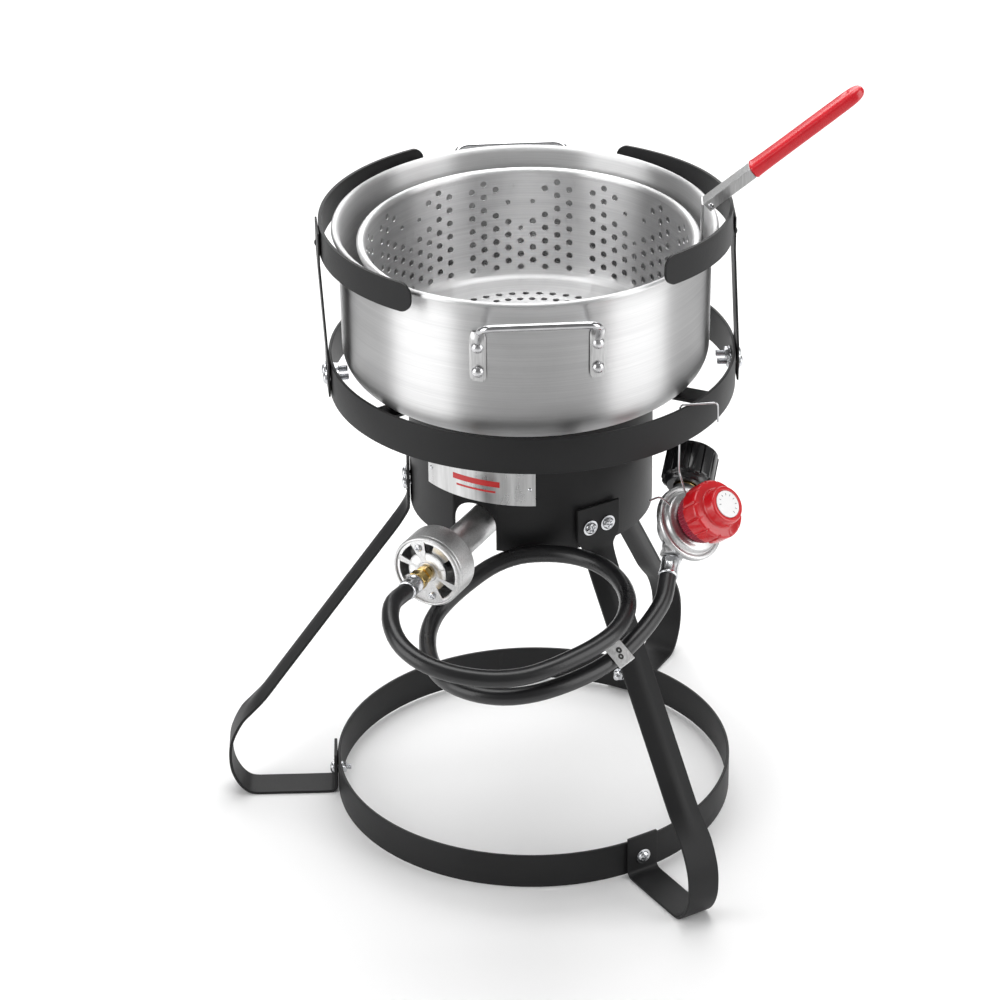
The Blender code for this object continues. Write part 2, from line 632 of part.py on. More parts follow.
def orifice():
    d = polar(1, VENT_AZ)
    m = frame(polar(BELL_FACE - 0.009, VENT_AZ, VENT_Z), d, (0, 0, 1))
    c = lambda r: circle(r, 12)
    h = lambda w: hexagon(w)
    stack("orifice_fitting", [(0, c(0.0022)), (0.003, c(0.0040)), (0.0100, c(0.0048)), (0.0100, h(0.0118)), (0.0150, h(0.0118)),
          (0.0150, c(0.0045)), (0.0180, c(0.0045)), (0.0180, h(0.0138)), (0.0255, h(0.0138)), (0.0258, c(0.0056)),
          (0.009 + ORIFICE_LEN, c(0.0056))], BRASS, m)


def ferrule(name, at, axis, length):
    m = frame(at, axis)
    n = 16
    stack(name, [(0, circle(0.0062, n)), (0.0008, circle(FERRULE_R, n)), (length * 0.3, circle(FERRULE_R, n)),
                 (length * 0.35, circle(FERRULE_R * 0.94, n)), (length * 0.5, circle(FERRULE_R * 0.94, n)),
                 (length * 0.55, circle(FERRULE_R, n)), (length - 0.0006, circle(FERRULE_R, n)),
                 (length, circle(FERRULE_R * 0.95, n))], ZINC, m)


# ---------------------------------------------------------------- hose
def hose():
    pts = smooth_route(HOSE_ROUTE, 0.0155)
    cu = bpy.data.curves.new("gas_hose", 'CURVE')
    cu.dimensions = '3D'
    cu.bevel_depth = HOSE_R
    cu.bevel_resolution = 2
    cu.use_fill_caps = True
    cu.resolution_u = 1
    sp = cu.splines.new('POLY')
    sp.points.add(len(pts) - 1)
    for q, p in zip(sp.points, pts):
        q.co = (p.x + AXIS[0], p.y + AXIS[1], p.z, 1)
    cu.materials.append(RUBBER)
    ob = bpy.data.objects.new("gas_hose", cu)
    bpy.context.scene.collection.objects.link(ob)


def hose_tag():
    c, t = TAG_AT
    t = Vector(t).normalized()
    out = Vector((0.0, -0.80, 0.60))
    out = (out - t * out.dot(t)).normalized()
    side = t.cross(out)
    w, h, k = 0.0085, 0.0100, 0.0004
    o = Vector(c) + out * (HOSE_R + 0.0009)
    verts = []
    for s in (-1, 1):
        for a, b in ((-w, -h), (w, -h), (w, h), (-w, h)):
            verts.append(o + t * a + side * b + out * (k * s))
    faces = [(0, 1, 2, 3), (7, 6, 5, 4), (0, 4, 5, 1), (1, 5, 6, 2), (2, 6, 7, 3), (3, 7, 4, 0)]
    add("hose_tag", verts, faces, PLATE)


# ---------------------------------------------------------------- regulator
def regulator():
    up = REG_A
    m = frame(REG_D, REG_K, up)
    # diaphragm housing and cover, then the hollow neck for the knob
    prof = [(0.0, -0.026), (0.012, -0.026), (0.016, -0.022), (0.017, -0.012), (0.026, -0.008), (0.0290, -0.0045),
            (0.0305, -0.0035), (0.0305, 0.0010), (0.0290, 0.0022), (0.0262, 0.0022), (0.0245, 0.0046), (0.0200, 0.0062),
            (0.0150, 0.0070), (0.0125, 0.0090), (0.0125, 0.0150), (0.0, 0.0150)]
    body = revolve("regulator_body", prof, 32, CAST, m)
    b = REG_D - REG_K * 0.016
    # inlet and outlet bosses are one casting with the housing
    for nm, ax, l0, l1, rr in (("inlet", REG_A, 0.004, 0.0380, 0.0100), ("outlet", -REG_A, 0.004, 0.0263, 0.0085)):
        mm = frame(b, ax)
        c = stack("join_" + nm, [(l0, circle(rr, 16)), (l1, circle(rr, 16))], None, mm)
        c.hide_render = True
        c.display_type = 'WIRE'
        mod = body.modifiers.new("join", 'BOOLEAN')
        mod.operation = 'UNION'
        mod.solver = 'EXACT'
        mod.object = c

    # knob: ribbed grip and raised cap around the neck
    ribs = 32
    prof = [(0.0131, 0.0130), (0.0175, 0.0130), (0.0190, 0.0190), (0.0232, 0.0205), (0.0240, 0.0220), (0.0240, 0.0345),
            (0.0225, 0.0365), (0.0160, 0.0375), (0.0155, 0.0390), (0.0150, 0.0465), (0.0140, 0.0480), (0.0112, 0.0480),
            (0.0112, 0.0472), (0.0, 0.0472), (0.0, 0.0156), (0.0131, 0.0156)]
    revolve("regulator_knob", prof, ribs, RED, m,
            wave=lambda i, r, z: 0.955 if (r > 0.0228 and 0.0215 < z < 0.035 and i % 4 == 0) else 1.0)
    revolve("knob_label", [(0.0, 0.0475), (0.0108, 0.0475), (0.0108, 0.0482), (0.0, 0.0482)], 20, WHITE, m)

    # black coupling nut turning on the inlet stem
    mm = frame(b, REG_A)
    prof = [(0.0104, 0.0390), (0.0160, 0.0390), (0.0175, 0.0420), (0.0205, 0.0435), (0.0212, 0.0450), (0.0212, 0.0700),
            (0.0200, 0.0712), (0.0175, 0.0712), (0.0165, 0.0700), (0.0165, 0.0480), (0.0104, 0.0480)]
    revolve("coupling_nut", prof, 32, NUTBLK, mm,
            wave=lambda i, r, z: 0.93 if (r > 0.0195 and 0.0440 < z < 0.0705 and i % 4 == 0) else 1.0)
    revolve("inlet_nipple", [(0.0, 0.0383), (0.0086, 0.0383), (0.0086, 0.0520), (0.0060, 0.0560), (0.0048, 0.0680),
                             (0.0, 0.0680)], 16, BRASS, mm)
    return b


def hanger():
    low = Vector((0.1152, -0.1100, 0.3550))
    e = (low - REG_D) - REG_K * (low - REG_D).dot(REG_K)
    e.normalize()
    neck = REG_D + REG_K * 0.0100 + e * 0.0140
    p = [neck, low, (0.1157, -0.1100, 0.4127),
         (0.1450, -0.1065, 0.4127), (0.1455, -0.1065, 0.3960)]
    wire("hanger_wire", fillet(p, 0.0035, 3), 0.0008, 6, CHROME)


# ---------------------------------------------------------------- pot
def pot():
    z0, z1, r, t, c = POT_Z0, POT_Z1, POT_R, POT_T, POT_CORNER
    out = []
    for i in range(6):
        a = math.pi / 2 * i / 5
        out.append((r - 0.001 - c + c * math.sin(a), z0 + c - c * math.cos(a)))
    out.append((r, z1 - 0.0062))
    # flared rim rolled outwards
    rim = [(POT_RIM_R - 0.0022, z1 - 0.0050), (POT_RIM_R - 0.0003, z1 - 0.0036),
           (POT_RIM_R - 0.0003, z1 - 0.0014), (POT_RIM_R - 0.0022, z1),
           (r + 0.0004, z1 - 0.0004), (r - t, z1 - 0.0050)]
    inn = []
    ci = c - t
    for i in range(6):
        a = math.pi / 2 * (5 - i) / 5
        inn.append((r - 0.001 - c + ci * math.sin(a), z0 + c - ci * math.cos(a)))
    prof = [(0.0, z0)] + out + rim + inn + [(0.0, z0 + t)]
    revolve("fry_pot", prof, 72, ALU)


def pot_handles():
    for nm, az in zip(("front", "rear"), HANDLE_AZ):
        k = 0
        m = Matrix.Rotation(math.radians(az), 4, 'Z')
        wall = math.sqrt(POT_R ** 2 - HANDLE_HALF ** 2)
        x1 = POT_R + HANDLE_OUT
        h = HANDLE_HALF
        # the foot of each leg stands off the bracket on the curved wall
        xb = wall + 0.0085
        zb = BRACKET_Z1 - 0.0040
        p = [(xb, -h, zb), (x1, -h, HANDLE_Z), (x1, h, HANDLE_Z), (xb, h, zb)]
        wire("pot_handle_" + nm, [m @ q for q in fillet(p, 0.012, 6)], HANDLE_WIRE, 10, CHROME)
        for sgn in (-1, 1):
            k += 1
            ang = az + math.degrees(math.asin(sgn * h / POT_R))
            bracket("bracket_%s_%d" % (nm, k), ang)


def bracket(name, az):
    """Strap with two domed rivets, bulged over the end of the wire."""
    o = POT_R + 0.0003
    hw = 0.0066
    m = frame(polar(o, az, (BRACKET_Z0 + BRACKET_Z1) / 2), polar(1, az), (0, 0, 1))
    L = (BRACKET_Z1 - BRACKET_Z0) / 2
    sag = 0.0002
    pts = []
    for i in range(6):
        a = math.pi * i / 5
        pts.append((-L + 0.004 - 0.004 * math.sin(a), hw * math.cos(a)))
    for i in range(6):
        a = math.pi * i / 5
        pts.append((L - 0.004 + 0.004 * math.sin(a), -hw * math.cos(a)))
    s = stack(name, [(sag, pts), (sag + 0.0026, pts), (sag + 0.0030, [(x * 0.985, y * 0.93) for x, y in pts])], ALU, m)
    for zz in (-0.0122, 0.0082):
        mm = m @ Matrix.Translation((zz, 0, 0))
        c = stack("join_rivet", [(0.001, circle(0.0048, 10)), (0.0038, circle(0.0048, 10)),
                                 (0.0056, circle(0.0028, 10))], None, mm)
        c.hide_render = True
        c.display_type = 'WIRE'
        mod = s.modifiers.new("join", 'BOOLEAN')
        mod.operation = 'UNION'
        mod.solver = 'EXACT'
        mod.object = c


# ---------------------------------------------------------------- basket
def basket():
    z0, z1, t = BASKET_Z0, BASKET_Z1, BASKET_T
    rb, rt, rr = BASKET_BOT_R, BASKET_TOP_R, BASKET_RIM_R
    c = 0.009
    out = [(0.0, z0)]
    for i in range(4):
        a = math.pi / 2 * i / 3
        out.append((rb - c + c * math.sin(a), z0 + c - c * math.cos(a)))
    out += [(rt, z1 - 0.0050), (rr - 0.0012, z1 - 0.0044), (rr, z1 - 0.0022), (rr - 0.0012, z1),
            (rt - 0.0002, z1 - 0.0008), (rt - t, z1 - 0.0042)]
    ci = c - t
    for i in range(4):
        a = math.pi / 2 * (3 - i) / 3
        out.append((rb - c + ci * math.sin(a), z0 + c - ci * math.cos(a)))
    out.append((0.0, z0 + t))
    revolve("strainer_basket", out, 64, ALU)
    # studs riveted under the floor keep it off the bottom of the pot
    top, low = z0 - 0.0001, POT_Z0 + POT_T + 0.0004
    for i, az in enumerate(FOOT_AZ):
        m = Matrix.Translation(polar(FOOT_AT, az))
        stack("basket_foot_%d" % (i + 1), [(low, circle(FOOT_R * 0.75, 16)), (low + 0.0012, circle(FOOT_R, 16)),
                                           (top, circle(FOOT_R, 16))], ALU, m)


def basket_handle():
    # strap riveted to the outside of the basket wall, standing up to the hinge pin
    xw = BASKET_RIM_R + 0.0001
    strip("basket_strap", [(xw + 0.0010, 0.4660), (xw + 0.0010, 0.5360)], 0.0150, 0.0018, Matrix(), ALU)
    a = math.radians(CHANNEL_PITCH)
    u = Vector((math.cos(a), 0, math.sin(a)))
    w = Vector((-math.sin(a), 0, math.cos(a)))
    base = Vector((PIN_X, 0, PIN_Z))
    # local x = along, local y = across, local z = upward normal
    m = Matrix(((u.x, 0, w.x, base.x), (u.y, 1, w.y, base.y), (u.z, 0, w.z, base.z), (0, 0, 0, 1)))
    wd, dp, t = 0.0072, 0.0045, 0.0014
    sec = [(-wd, -dp), (wd, -dp), (wd, dp), (-wd, dp)]
    # open channel: web on top, flanges down
    sec = [(-wd, -dp), (-wd + t, -dp), (-wd + t, dp - t), (wd - t, dp - t), (wd - t, -dp), (wd, -dp), (wd, dp), (-wd, dp)]
    verts, faces = [], []
    n = len(sec)
    for x in (0.0, CHANNEL_LEN):
        for y, z in sec:
            verts.append(m @ Vector((x, y, z)))
    for i in range(n):
        j = (i + 1) % n
        faces.append((i, j, n + j, n + i))
    faces.append(tuple(reversed(range(n))))
    faces.append(tuple(range(n, 2 * n)))
    add("handle_channel", verts, faces, ALU)
    # dipped vinyl grip, rounded at the free end
    prof = [(0.0, 0.0078, 0.0056), (0.004, 0.0086, 0.0058), (0.060, 0.0084, 0.0055), (GRIP_LEN - 0.014, 0.0082, 0.0053),
            (GRIP_LEN - 0.006, 0.0068, 0.0048), (GRIP_LEN - 0.0015, 0.0036, 0.0034), (GRIP_LEN, 0.0014, 0.0014)]
    verts, faces = [], []
    k = 16
    secs = []
    for x, ry, rz in prof:
        ring = []
        for i in range(k):
            t2 = 2 * math.pi * i / k
            cy, sz = math.cos(t2), math.sin(t2)
            ring.append(len(verts))
            verts.append(m @ Vector((CHANNEL_LEN + GAP + x, ry * math.copysign(abs(cy) ** 0.6, cy), rz * math.copysign(abs(sz) ** 0.6, sz))))
        secs.append(ring)
    for j in range(len(secs) - 1):
        for i in range(k):
            i2 = (i + 1) % k
            faces.append((secs[j][i], secs[j][i2], secs[j + 1][i2], secs[j + 1][i]))
    faces.append(tuple(reversed(secs[0])))
    faces.append(tuple(secs[-1]))
    add("handle_grip", verts, faces, VINYL)


TAG_AT = ((0.0636, -0.2170, 0.2495), (0.664, 0.736, 0.129))


def build():
    rings()
    shroud()
    support_bars()
    legs()
    uprights()
    nameplate()
    burner()
    face_plate()
    air_shutter()
    face_screws()
    orifice()
    d = polar(1, VENT_AZ)
    ferrule("ferrule_burner", polar(BELL_FACE + ORIFICE_LEN + GAP, VENT_AZ, VENT_Z), d, FERRULE_LEN)
    b = regulator()
    ferrule("ferrule_regulator", b - REG_A * 0.0267, -REG_A, 0.0169)
    hose()
    hose_tag()
    hanger()
    pot()
    pot_handles()
    basket()
    basket_handle()
    for ob in bpy.data.objects:
        if ob.name.startswith(("fry_pot", "pot_handle", "bracket")):
            ob.data.transform(Matrix.Translation((POT_AT[0], POT_AT[1], 0)))
        if ob.name.startswith(("strainer", "basket", "handle")):
            ob.data.transform(Matrix.Translation((BASKET_AT[0], BASKET_AT[1], 0)))


build()
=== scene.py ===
import bmesh
import bpy
from math import acos, asin, atan2, copysign, cos, degrees, exp, hypot, pi, radians, sin, sqrt
from mathutils import Matrix, Vector


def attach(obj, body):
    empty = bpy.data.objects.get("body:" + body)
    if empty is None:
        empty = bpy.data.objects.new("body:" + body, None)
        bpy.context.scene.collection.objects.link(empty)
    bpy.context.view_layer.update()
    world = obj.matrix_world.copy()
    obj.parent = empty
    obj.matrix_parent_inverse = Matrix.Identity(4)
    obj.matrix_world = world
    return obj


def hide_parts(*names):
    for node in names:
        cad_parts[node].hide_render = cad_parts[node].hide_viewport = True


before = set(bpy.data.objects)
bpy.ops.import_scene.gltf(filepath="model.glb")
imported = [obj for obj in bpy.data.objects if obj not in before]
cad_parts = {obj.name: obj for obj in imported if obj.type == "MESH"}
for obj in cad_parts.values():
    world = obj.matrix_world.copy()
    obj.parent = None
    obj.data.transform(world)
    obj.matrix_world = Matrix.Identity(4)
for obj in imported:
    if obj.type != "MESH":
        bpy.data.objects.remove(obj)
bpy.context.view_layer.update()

# ------------------------------------------------------------------ sizes shared with the CAD part
AXIS = Vector((-0.001221, -0.003648, 0.0))     # the stand's own axis
POT_AT = Vector((-0.0035, 0.0, 0.0))          # the pot sits a little off it
BASKET_AT = Vector((-0.0006, 0.0, 0.0))       # and the basket a little off the pot
GAP = 0.0003
RING_R, RING_T, RING_H = 0.1655, 0.0025, 0.03
TOP_R, TOP_AT = 0.1627, 0.0015
BOTTOM_RING_Z, TOP_RING_Z = 0.002, 0.381
SHROUD_R, SHROUD_T, SHROUD_Z0, SHROUD_Z1 = 0.0985, 0.0015, 0.276, 0.3915
VENT_AZ, VENT_Z, ARCH_R = -117.5, 0.2925, 0.0186
BAR_AZ, BAR_W, BAR_T, BAR_Z = (-24.0, 96.0, 216.0), 0.02, 0.003, 0.392
LEG_AZ = {"left": 181.8, "front": -58.2, "rear": 61.8}
LEG_W, LEG_T, LEG_RIDGE_W, LEG_RIDGE, PLATE_W = 0.028, 0.0025, 0.027, 0.0038, 0.039
LEG_BOLT_Z, LEG_BOLT_OFF, RING_BOLT_Z = 0.294, 0.0082, 0.017
UPRIGHT_W, UPRIGHT_T, UPRIGHT_Z0, UPRIGHT_Z1 = 0.034, 0.0016, 0.3835, 0.526
UPRIGHT_AZ = {"left": 186.2, "right": 2.3}
UPRIGHT_TOP = {"left": 0.1669, "right": 0.1611}
UPRIGHT_BOLT_Z, UPRIGHT_BOLT_OFF = 0.396, 0.0073
ARC_H, ARC_R = 0.024, {"left": 0.1581, "right": 0.1709}
ARC_AT = {"left": (-0.0077, -0.0013), "right": (-0.0108, -0.0015)}
ARC_Z = {"left": 0.5155, "right": 0.523}
ARC_SPAN = {"left": (120.1, 238.4), "right": (-48.1, 60.6)}
ARC_TILT = {"left": 0.7, "right": 5.2}
POT_R, POT_RIM_R, POT_Z0, POT_Z1, POT_T, POT_CORNER = 0.1475, 0.1525, 0.3955, 0.52, 0.0015, 0.024
HANDLE_AZ = {"front": -86.2, "rear": 93.7}
HANDLE_HALF, HANDLE_OUT, HANDLE_WIRE, HANDLE_Z = 0.0456, 0.0245, 0.0029, 0.511
BRACKET_Z0, BRACKET_Z1 = 0.452, 0.4935
BASKET_RIM_R, BASKET_TOP_R, BASKET_BOT_R = 0.1353, 0.1304, 0.1297
BASKET_Z0, BASKET_Z1, BASKET_T = 0.4105, 0.5068, 0.0011
FOOT_R, FOOT_AT, FOOT_AZ = 0.0055, 0.104, (20.0, 140.0, 260.0)
PIN_X, PIN_Z, CHANNEL_PITCH, CHANNEL_LEN, GRIP_LEN = 0.1398, 0.533, 39.0, 0.046, 0.107
BELL_R, BELL_FACE, BELL_DEPTH, TUBE_R = 0.0295, 0.1777, 0.028, 0.013
ORIFICE_LEN, FERRULE_LEN, FERRULE_R = 0.017, 0.0155, 0.0078
HOSE_R = 0.0069
HOSE_ROUTE = [
    (-0.0975, -0.1872, 0.2925), (-0.1071, -0.2057, 0.2925), (-0.108, -0.2261, 0.2874),
    (-0.101, -0.2448, 0.2802), (-0.0866, -0.2591, 0.274), (-0.0677, -0.2682, 0.2696),
    (-0.047, -0.2724, 0.2665), (-0.0259, -0.2722, 0.2645), (-0.0055, -0.2675, 0.2642),
    (0.0133, -0.2588, 0.2657), (0.0309, -0.2475, 0.2677), (0.0474, -0.2343, 0.2696),
    (0.0616, -0.2187, 0.2718), (0.071, -0.2001, 0.2746), (0.0742, -0.1796, 0.2775),
    (0.0709, -0.1591, 0.2798), (0.0621, -0.1402, 0.2812), (0.0485, -0.1245, 0.282),
    (0.0307, -0.1136, 0.2818), (0.0104, -0.1079, 0.2805), (-0.0106, -0.107, 0.278),
    (-0.0303, -0.1113, 0.2723), (-0.0478, -0.1204, 0.2641), (-0.0633, -0.1332, 0.2565),
    (-0.0752, -0.1495, 0.2505), (-0.081, -0.1689, 0.246), (-0.0814, -0.1898, 0.2433),
    (-0.078, -0.2106, 0.2421), (-0.0707, -0.2302, 0.242), (-0.0579, -0.2467, 0.2423),
    (-0.0405, -0.258, 0.2426), (-0.0203, -0.2628, 0.2431), (0.0003, -0.2606, 0.2443),
    (0.0197, -0.2526, 0.2457), (0.0375, -0.2411, 0.2468), (0.0536, -0.2273, 0.248),
    (0.0681, -0.2119, 0.2505), (0.0809, -0.1954, 0.2548), (0.0926, -0.1785, 0.2608),
    (0.1022, -0.1613, 0.2686), (0.1063, -0.1438, 0.2789),
]
REG_D = Vector((0.1244, -0.115, 0.311))
REG_K = Vector((0.584, -0.511, 0.63)).normalized()
REG_A = Vector((0.199, 0.842, 0.5)).normalized()
FACE_WINDOWS = ((125, 158), (172, 212), (-15, 95), (-58, -28))
WINDOW_R = (0.0165, 0.0245)
SCREW_ANG, SCREW_R = (111.0, 281.0), 0.0208
TAG_AT = ((0.0636, -0.217, 0.2495), (0.664, 0.736, 0.129))


# ------------------------------------------------------------------ materials
class Nodes:
    """A Principled material and short ways to feed it."""

    def __init__(self, name, rgb, metallic, rough):
        self.m = bpy.data.materials.new(name)
        self.m.use_nodes = True
        self.t = self.m.node_tree
        self.p = self.t.nodes["Principled BSDF"]
        self.p.inputs["Base Color"].default_value = (*rgb, 1)
        self.p.inputs["Metallic"].default_value = metallic
        self.p.inputs["Roughness"].default_value = rough
        self.coord = self.t.nodes.new("ShaderNodeTexCoord").outputs["Object"]
        self.height = None

    def new(self, kind, **inputs):
        n = self.t.nodes.new(kind)
        for k, v in inputs.items():
            self.feed(n.inputs[k], v)
        return n

    def feed(self, socket, v):
        if isinstance(v, bpy.types.NodeSocket):
            self.t.links.new(v, socket)
        else:
            socket.default_value = v

    def math(self, op, a, b=0.0, c=0.0):
        n = self.t.nodes.new("ShaderNodeMath")
        n.operation = op
        for i, v in enumerate((a, b, c)):
            self.feed(n.inputs[i], v)
        return n.outputs[0]

    def vec(self, op, a, b):
        n = self.t.nodes.new("ShaderNodeVectorMath")
        n.operation = op
        self.feed(n.inputs[0], a)
        self.feed(n.inputs[1], b)
        return n.outputs[0]

    def noise(self, scale, detail=3.0, rough=0.5, vector=None, stretch=None):
        v = self.coord if vector is None else vector
        if stretch:
            v = self.vec("MULTIPLY", v, stretch)
        n = self.new("ShaderNodeTexNoise", Vector=v, Scale=scale, Detail=detail, Roughness=rough)
        return n.outputs[0]

    def remap(self, v, a, b, c, d):
        n = self.t.nodes.new("ShaderNodeMapRange")
        for i, x in enumerate((v, a, b, c, d)):
            self.feed(n.inputs[i], x)
        return n.outputs[0]

    def mix(self, f, a, b):
        n = self.t.nodes.new("ShaderNodeMix")
        n.data_type = "RGBA"
        self.feed(n.inputs[0], f)
        self.feed(n.inputs[6], (*a, 1) if isinstance(a, tuple) else a)
        self.feed(n.inputs[7], (*b, 1) if isinstance(b, tuple) else b)
        return n.outputs[2]

    def tone(self, v, a, b, dark, light):
        self.set("Base Color", self.mix(self.remap(v, a, b, 0, 1), dark, light))

    def bump(self, height, strength, distance):
        n = self.new("ShaderNodeBump", Height=height, Strength=strength, Distance=distance)
        if self.height is not None:
            self.t.links.new(self.height, n.inputs["Normal"])
        self.height = n.outputs[0]
        self.t.links.new(self.height, self.p.inputs["Normal"])

    def set(self, name, v):
        self.feed(self.p.inputs[name], v)

    def around(self, centre):
        """Distance from a vertical axis, and height, as a coordinate for turned marks."""
        v = self.vec("SUBTRACT", self.coord, tuple(centre))
        s = self.new("ShaderNodeSeparateXYZ", Vector=v).outputs
        r = self.math("SQRT", self.math("ADD", self.math("MULTIPLY", s[0], s[0]),
            self.math("MULTIPLY", s[1], s[1])))
        return r, s[2], self.math("DIVIDE", s[0], r), self.math("DIVIDE", s[1], r)


def black_coat(name="black_coat_fine"):
    m = Nodes(name, (0.02, 0.02, 0.021), 0.0, 0.5)
    cloud = m.noise(14.0, 4)
    grain = m.noise(1400.0, 2, 0.6)
    peel = m.noise(420.0, 2, 0.5)
    m.tone(cloud, 0.3, 0.7, (0.0095, 0.0095, 0.01), (0.015, 0.015, 0.0156))
    m.set("Roughness", m.remap(m.math("ADD", cloud, m.math("MULTIPLY", grain, 0.5)), 0.4, 1.1, 0.4,
        0.58))
    m.set("Specular IOR Level", 0.24)
    m.bump(peel, 0.12, 0.0004)
    m.bump(grain, 0.16, 0.0002)
    return m.m


def spun(name, centre, base=0.8, rough=0.27, aniso=0.8, lines=1.0):
    """Spun aluminium: fine rings around the axis, a few deeper tool marks, a little cloudiness."""
    m = Nodes(name, (base, base, base), 1.0, rough)
    r, z, x, y = m.around(centre)
    along = m.math("ADD", r, z)
    v = m.new("ShaderNodeCombineXYZ", X=m.math("MULTIPLY", x, 1.3), Y=m.math("MULTIPLY", y, 1.3),
        Z=m.math("MULTIPLY", along, 1100.0)).outputs[0]
    fine = m.noise(1.0, 4, 0.65, vector=v)
    v2 = m.new("ShaderNodeCombineXYZ", X=m.math("MULTIPLY", x, 0.4), Y=m.math("MULTIPLY", y, 0.4),
        Z=m.math("MULTIPLY", along, 170.0)).outputs[0]
    coarse = m.noise(1.0, 2, 0.5, vector=v2)
    cloud = m.noise(22.0, 3)
    tone = m.math("ADD", m.math("MULTIPLY", fine, 0.6), m.math("MULTIPLY", coarse, 0.4))
    m.tone(tone, 0.35, 0.65, (base * 0.9, base * 0.9, base * 0.905), (min(1, base * 1.08),) * 3)
    m.set("Roughness", m.remap(m.math("ADD", m.math("MULTIPLY", fine, 0.7),
        m.math("MULTIPLY", cloud, 0.3)), 0.35, 0.65, rough - 0.04, rough + 0.05))
    t = m.t.nodes.new("ShaderNodeTangent")
    t.direction_type, t.axis = "RADIAL", "Z"
    m.set("Tangent", t.outputs[0])
    m.set("Anisotropic", aniso)
    m.set("Anisotropic Rotation", 0.25)
    m.bump(fine, 0.05 * lines, 0.0001)
    m.bump(coarse, 0.04 * lines, 0.0003)
    return m.m


def cast(name, base=0.6, rough=0.46, grit=1.0, metallic=1.0):
    m = Nodes(name, (base, base, base), metallic, rough)
    g1 = m.noise(1100.0, 3, 0.7)
    g2 = m.noise(260.0, 3, 0.6)
    cloud = m.noise(40.0, 3)
    m.tone(g1, 0.35, 0.65, (base * 0.8,) * 3, (base * 1.12,) * 3)
    m.set("Roughness", m.remap(m.math("ADD", cloud, m.math("MULTIPLY", g2, 0.5)), 0.5, 1.0,
        rough - 0.08, rough + 0.1))
    m.bump(g2, 0.25 * grit, 0.0005)
    m.bump(g1, 0.45 * grit, 0.00025)
    return m.m


def plated(name, rgb, rough, scale=500.0, strength=0.08, metallic=1.0):
    m = Nodes(name, rgb, metallic, rough)
    n = m.noise(scale, 3, 0.6)
    cloud = m.noise(90.0, 3)
    lo = tuple(c * 0.86 for c in rgb)
    hi = tuple(min(1.0, c * 1.08) for c in rgb)
    m.tone(cloud, 0.3, 0.7, lo, hi)
    m.set("Roughness", m.remap(m.math("ADD", n, cloud), 0.7, 1.3, rough * 0.75, rough * 1.35))
    m.bump(n, strength, 0.0002)
    return m.m


def brushed(name, base=0.74, rough=0.3, stretch=(30, 30, 1600)):
    m = Nodes(name, (base,) * 3, 1.0, rough)
    n = m.noise(1.0, 4, 0.6, stretch=stretch)
    cloud = m.noise(60.0, 3)
    m.tone(n, 0.35, 0.65, (base * 0.85,) * 3, (min(1, base * 1.12),) * 3)
    m.set("Roughness", m.remap(m.math("ADD", n, cloud), 0.7, 1.3, rough - 0.06, rough + 0.08))
    m.bump(n, 0.1, 0.0001)
    return m.m


def plastic(name, rgb, rough, coat=0.0, peel=0.05, scale=240.0, dark=0.85):
    m = Nodes(name, rgb, 0.0, rough)
    n = m.noise(scale, 3, 0.5)
    fine = m.noise(1500.0, 2, 0.5)
    cloud = m.noise(35.0, 3)
    m.tone(cloud, 0.3, 0.7, tuple(c * dark for c in rgb), rgb)
    m.set("Roughness", m.remap(m.math("ADD", cloud, m.math("MULTIPLY", fine, 0.6)), 0.5, 1.1,
        rough * 0.8, rough * 1.25))
    m.set("Coat Weight", coat)
    m.set("Coat Roughness", 0.12)
    m.bump(n, peel, 0.0004)
    m.bump(fine, peel * 0.8, 0.0001)
    return m.m


POT_C, BASKET_C = AXIS + POT_AT, AXIS + BASKET_AT
BLACK = black_coat()
POT_ALU = spun("spun_pot", POT_C, 0.62, 0.42, 0.95, 0.3)
BASKET_ALU = spun("spun_basket", BASKET_C, 0.74, 0.38, 0.92, 0.25)
STRAP_ALU = brushed("pressed_aluminium", 0.5, 0.32, (900, 900, 60))
RIVET_ALU = plated("rivet_aluminium", (0.58, 0.58, 0.59), 0.24, 300.0, 0.12)
CAST = cast("cast_burner_metal", 0.62, 0.42, 0.8)
HOUSING = cast("die_cast_housing", 0.6, 0.32, 0.35)
IRON = cast("cast_iron_head", 0.06, 0.62, 1.2, 0.5)
ZINC = plated("bright_zinc", (0.66, 0.67, 0.69), 0.2, 420.0, 0.1)
CHROME = plated("chromed_wire", (0.55, 0.55, 0.56), 0.07, 160.0, 0.04)
BRASS = plated("machined_brass", (0.86, 0.62, 0.24), 0.2, 520.0, 0.1)
RUBBER = plastic("hose_rubber_fine", (0.012, 0.012, 0.013), 0.3, 0.0, 0.1, 380.0, 0.7)
PLATE = brushed("brushed_name_plate", 0.58, 0.3, (160, 160, 12))
SHEETZ = brushed("zinc_sheet", 0.62, 0.34, (700, 60, 700))
RED = plastic("red_knob_plastic", (0.6, 0.008, 0.014), 0.24, 0.35, 0.04)
SKIRT = plastic("dark_red_plastic", (0.3, 0.006, 0.03), 0.42, 0.0, 0.06)
VINYL = plastic("red_vinyl_dip", (0.62, 0.008, 0.018), 0.28, 0.25, 0.1, 130.0)
NUTBLK = plastic("black_nut_gloss", (0.01, 0.01, 0.011), 0.2, 0.3, 0.05, 260.0, 0.8)
LABEL = plastic("white_disc", (0.86, 0.86, 0.86), 0.45, 0.0, 0.03, 600.0, 0.96)
INKRED = plastic("red_print", (0.62, 0.03, 0.03), 0.4, 0.0, 0.02)
INKBLK = plastic("black_print", (0.02, 0.02, 0.02), 0.45, 0.0, 0.02)
SET_OFF = {"pot": POT_AT, "basket": BASKET_AT}


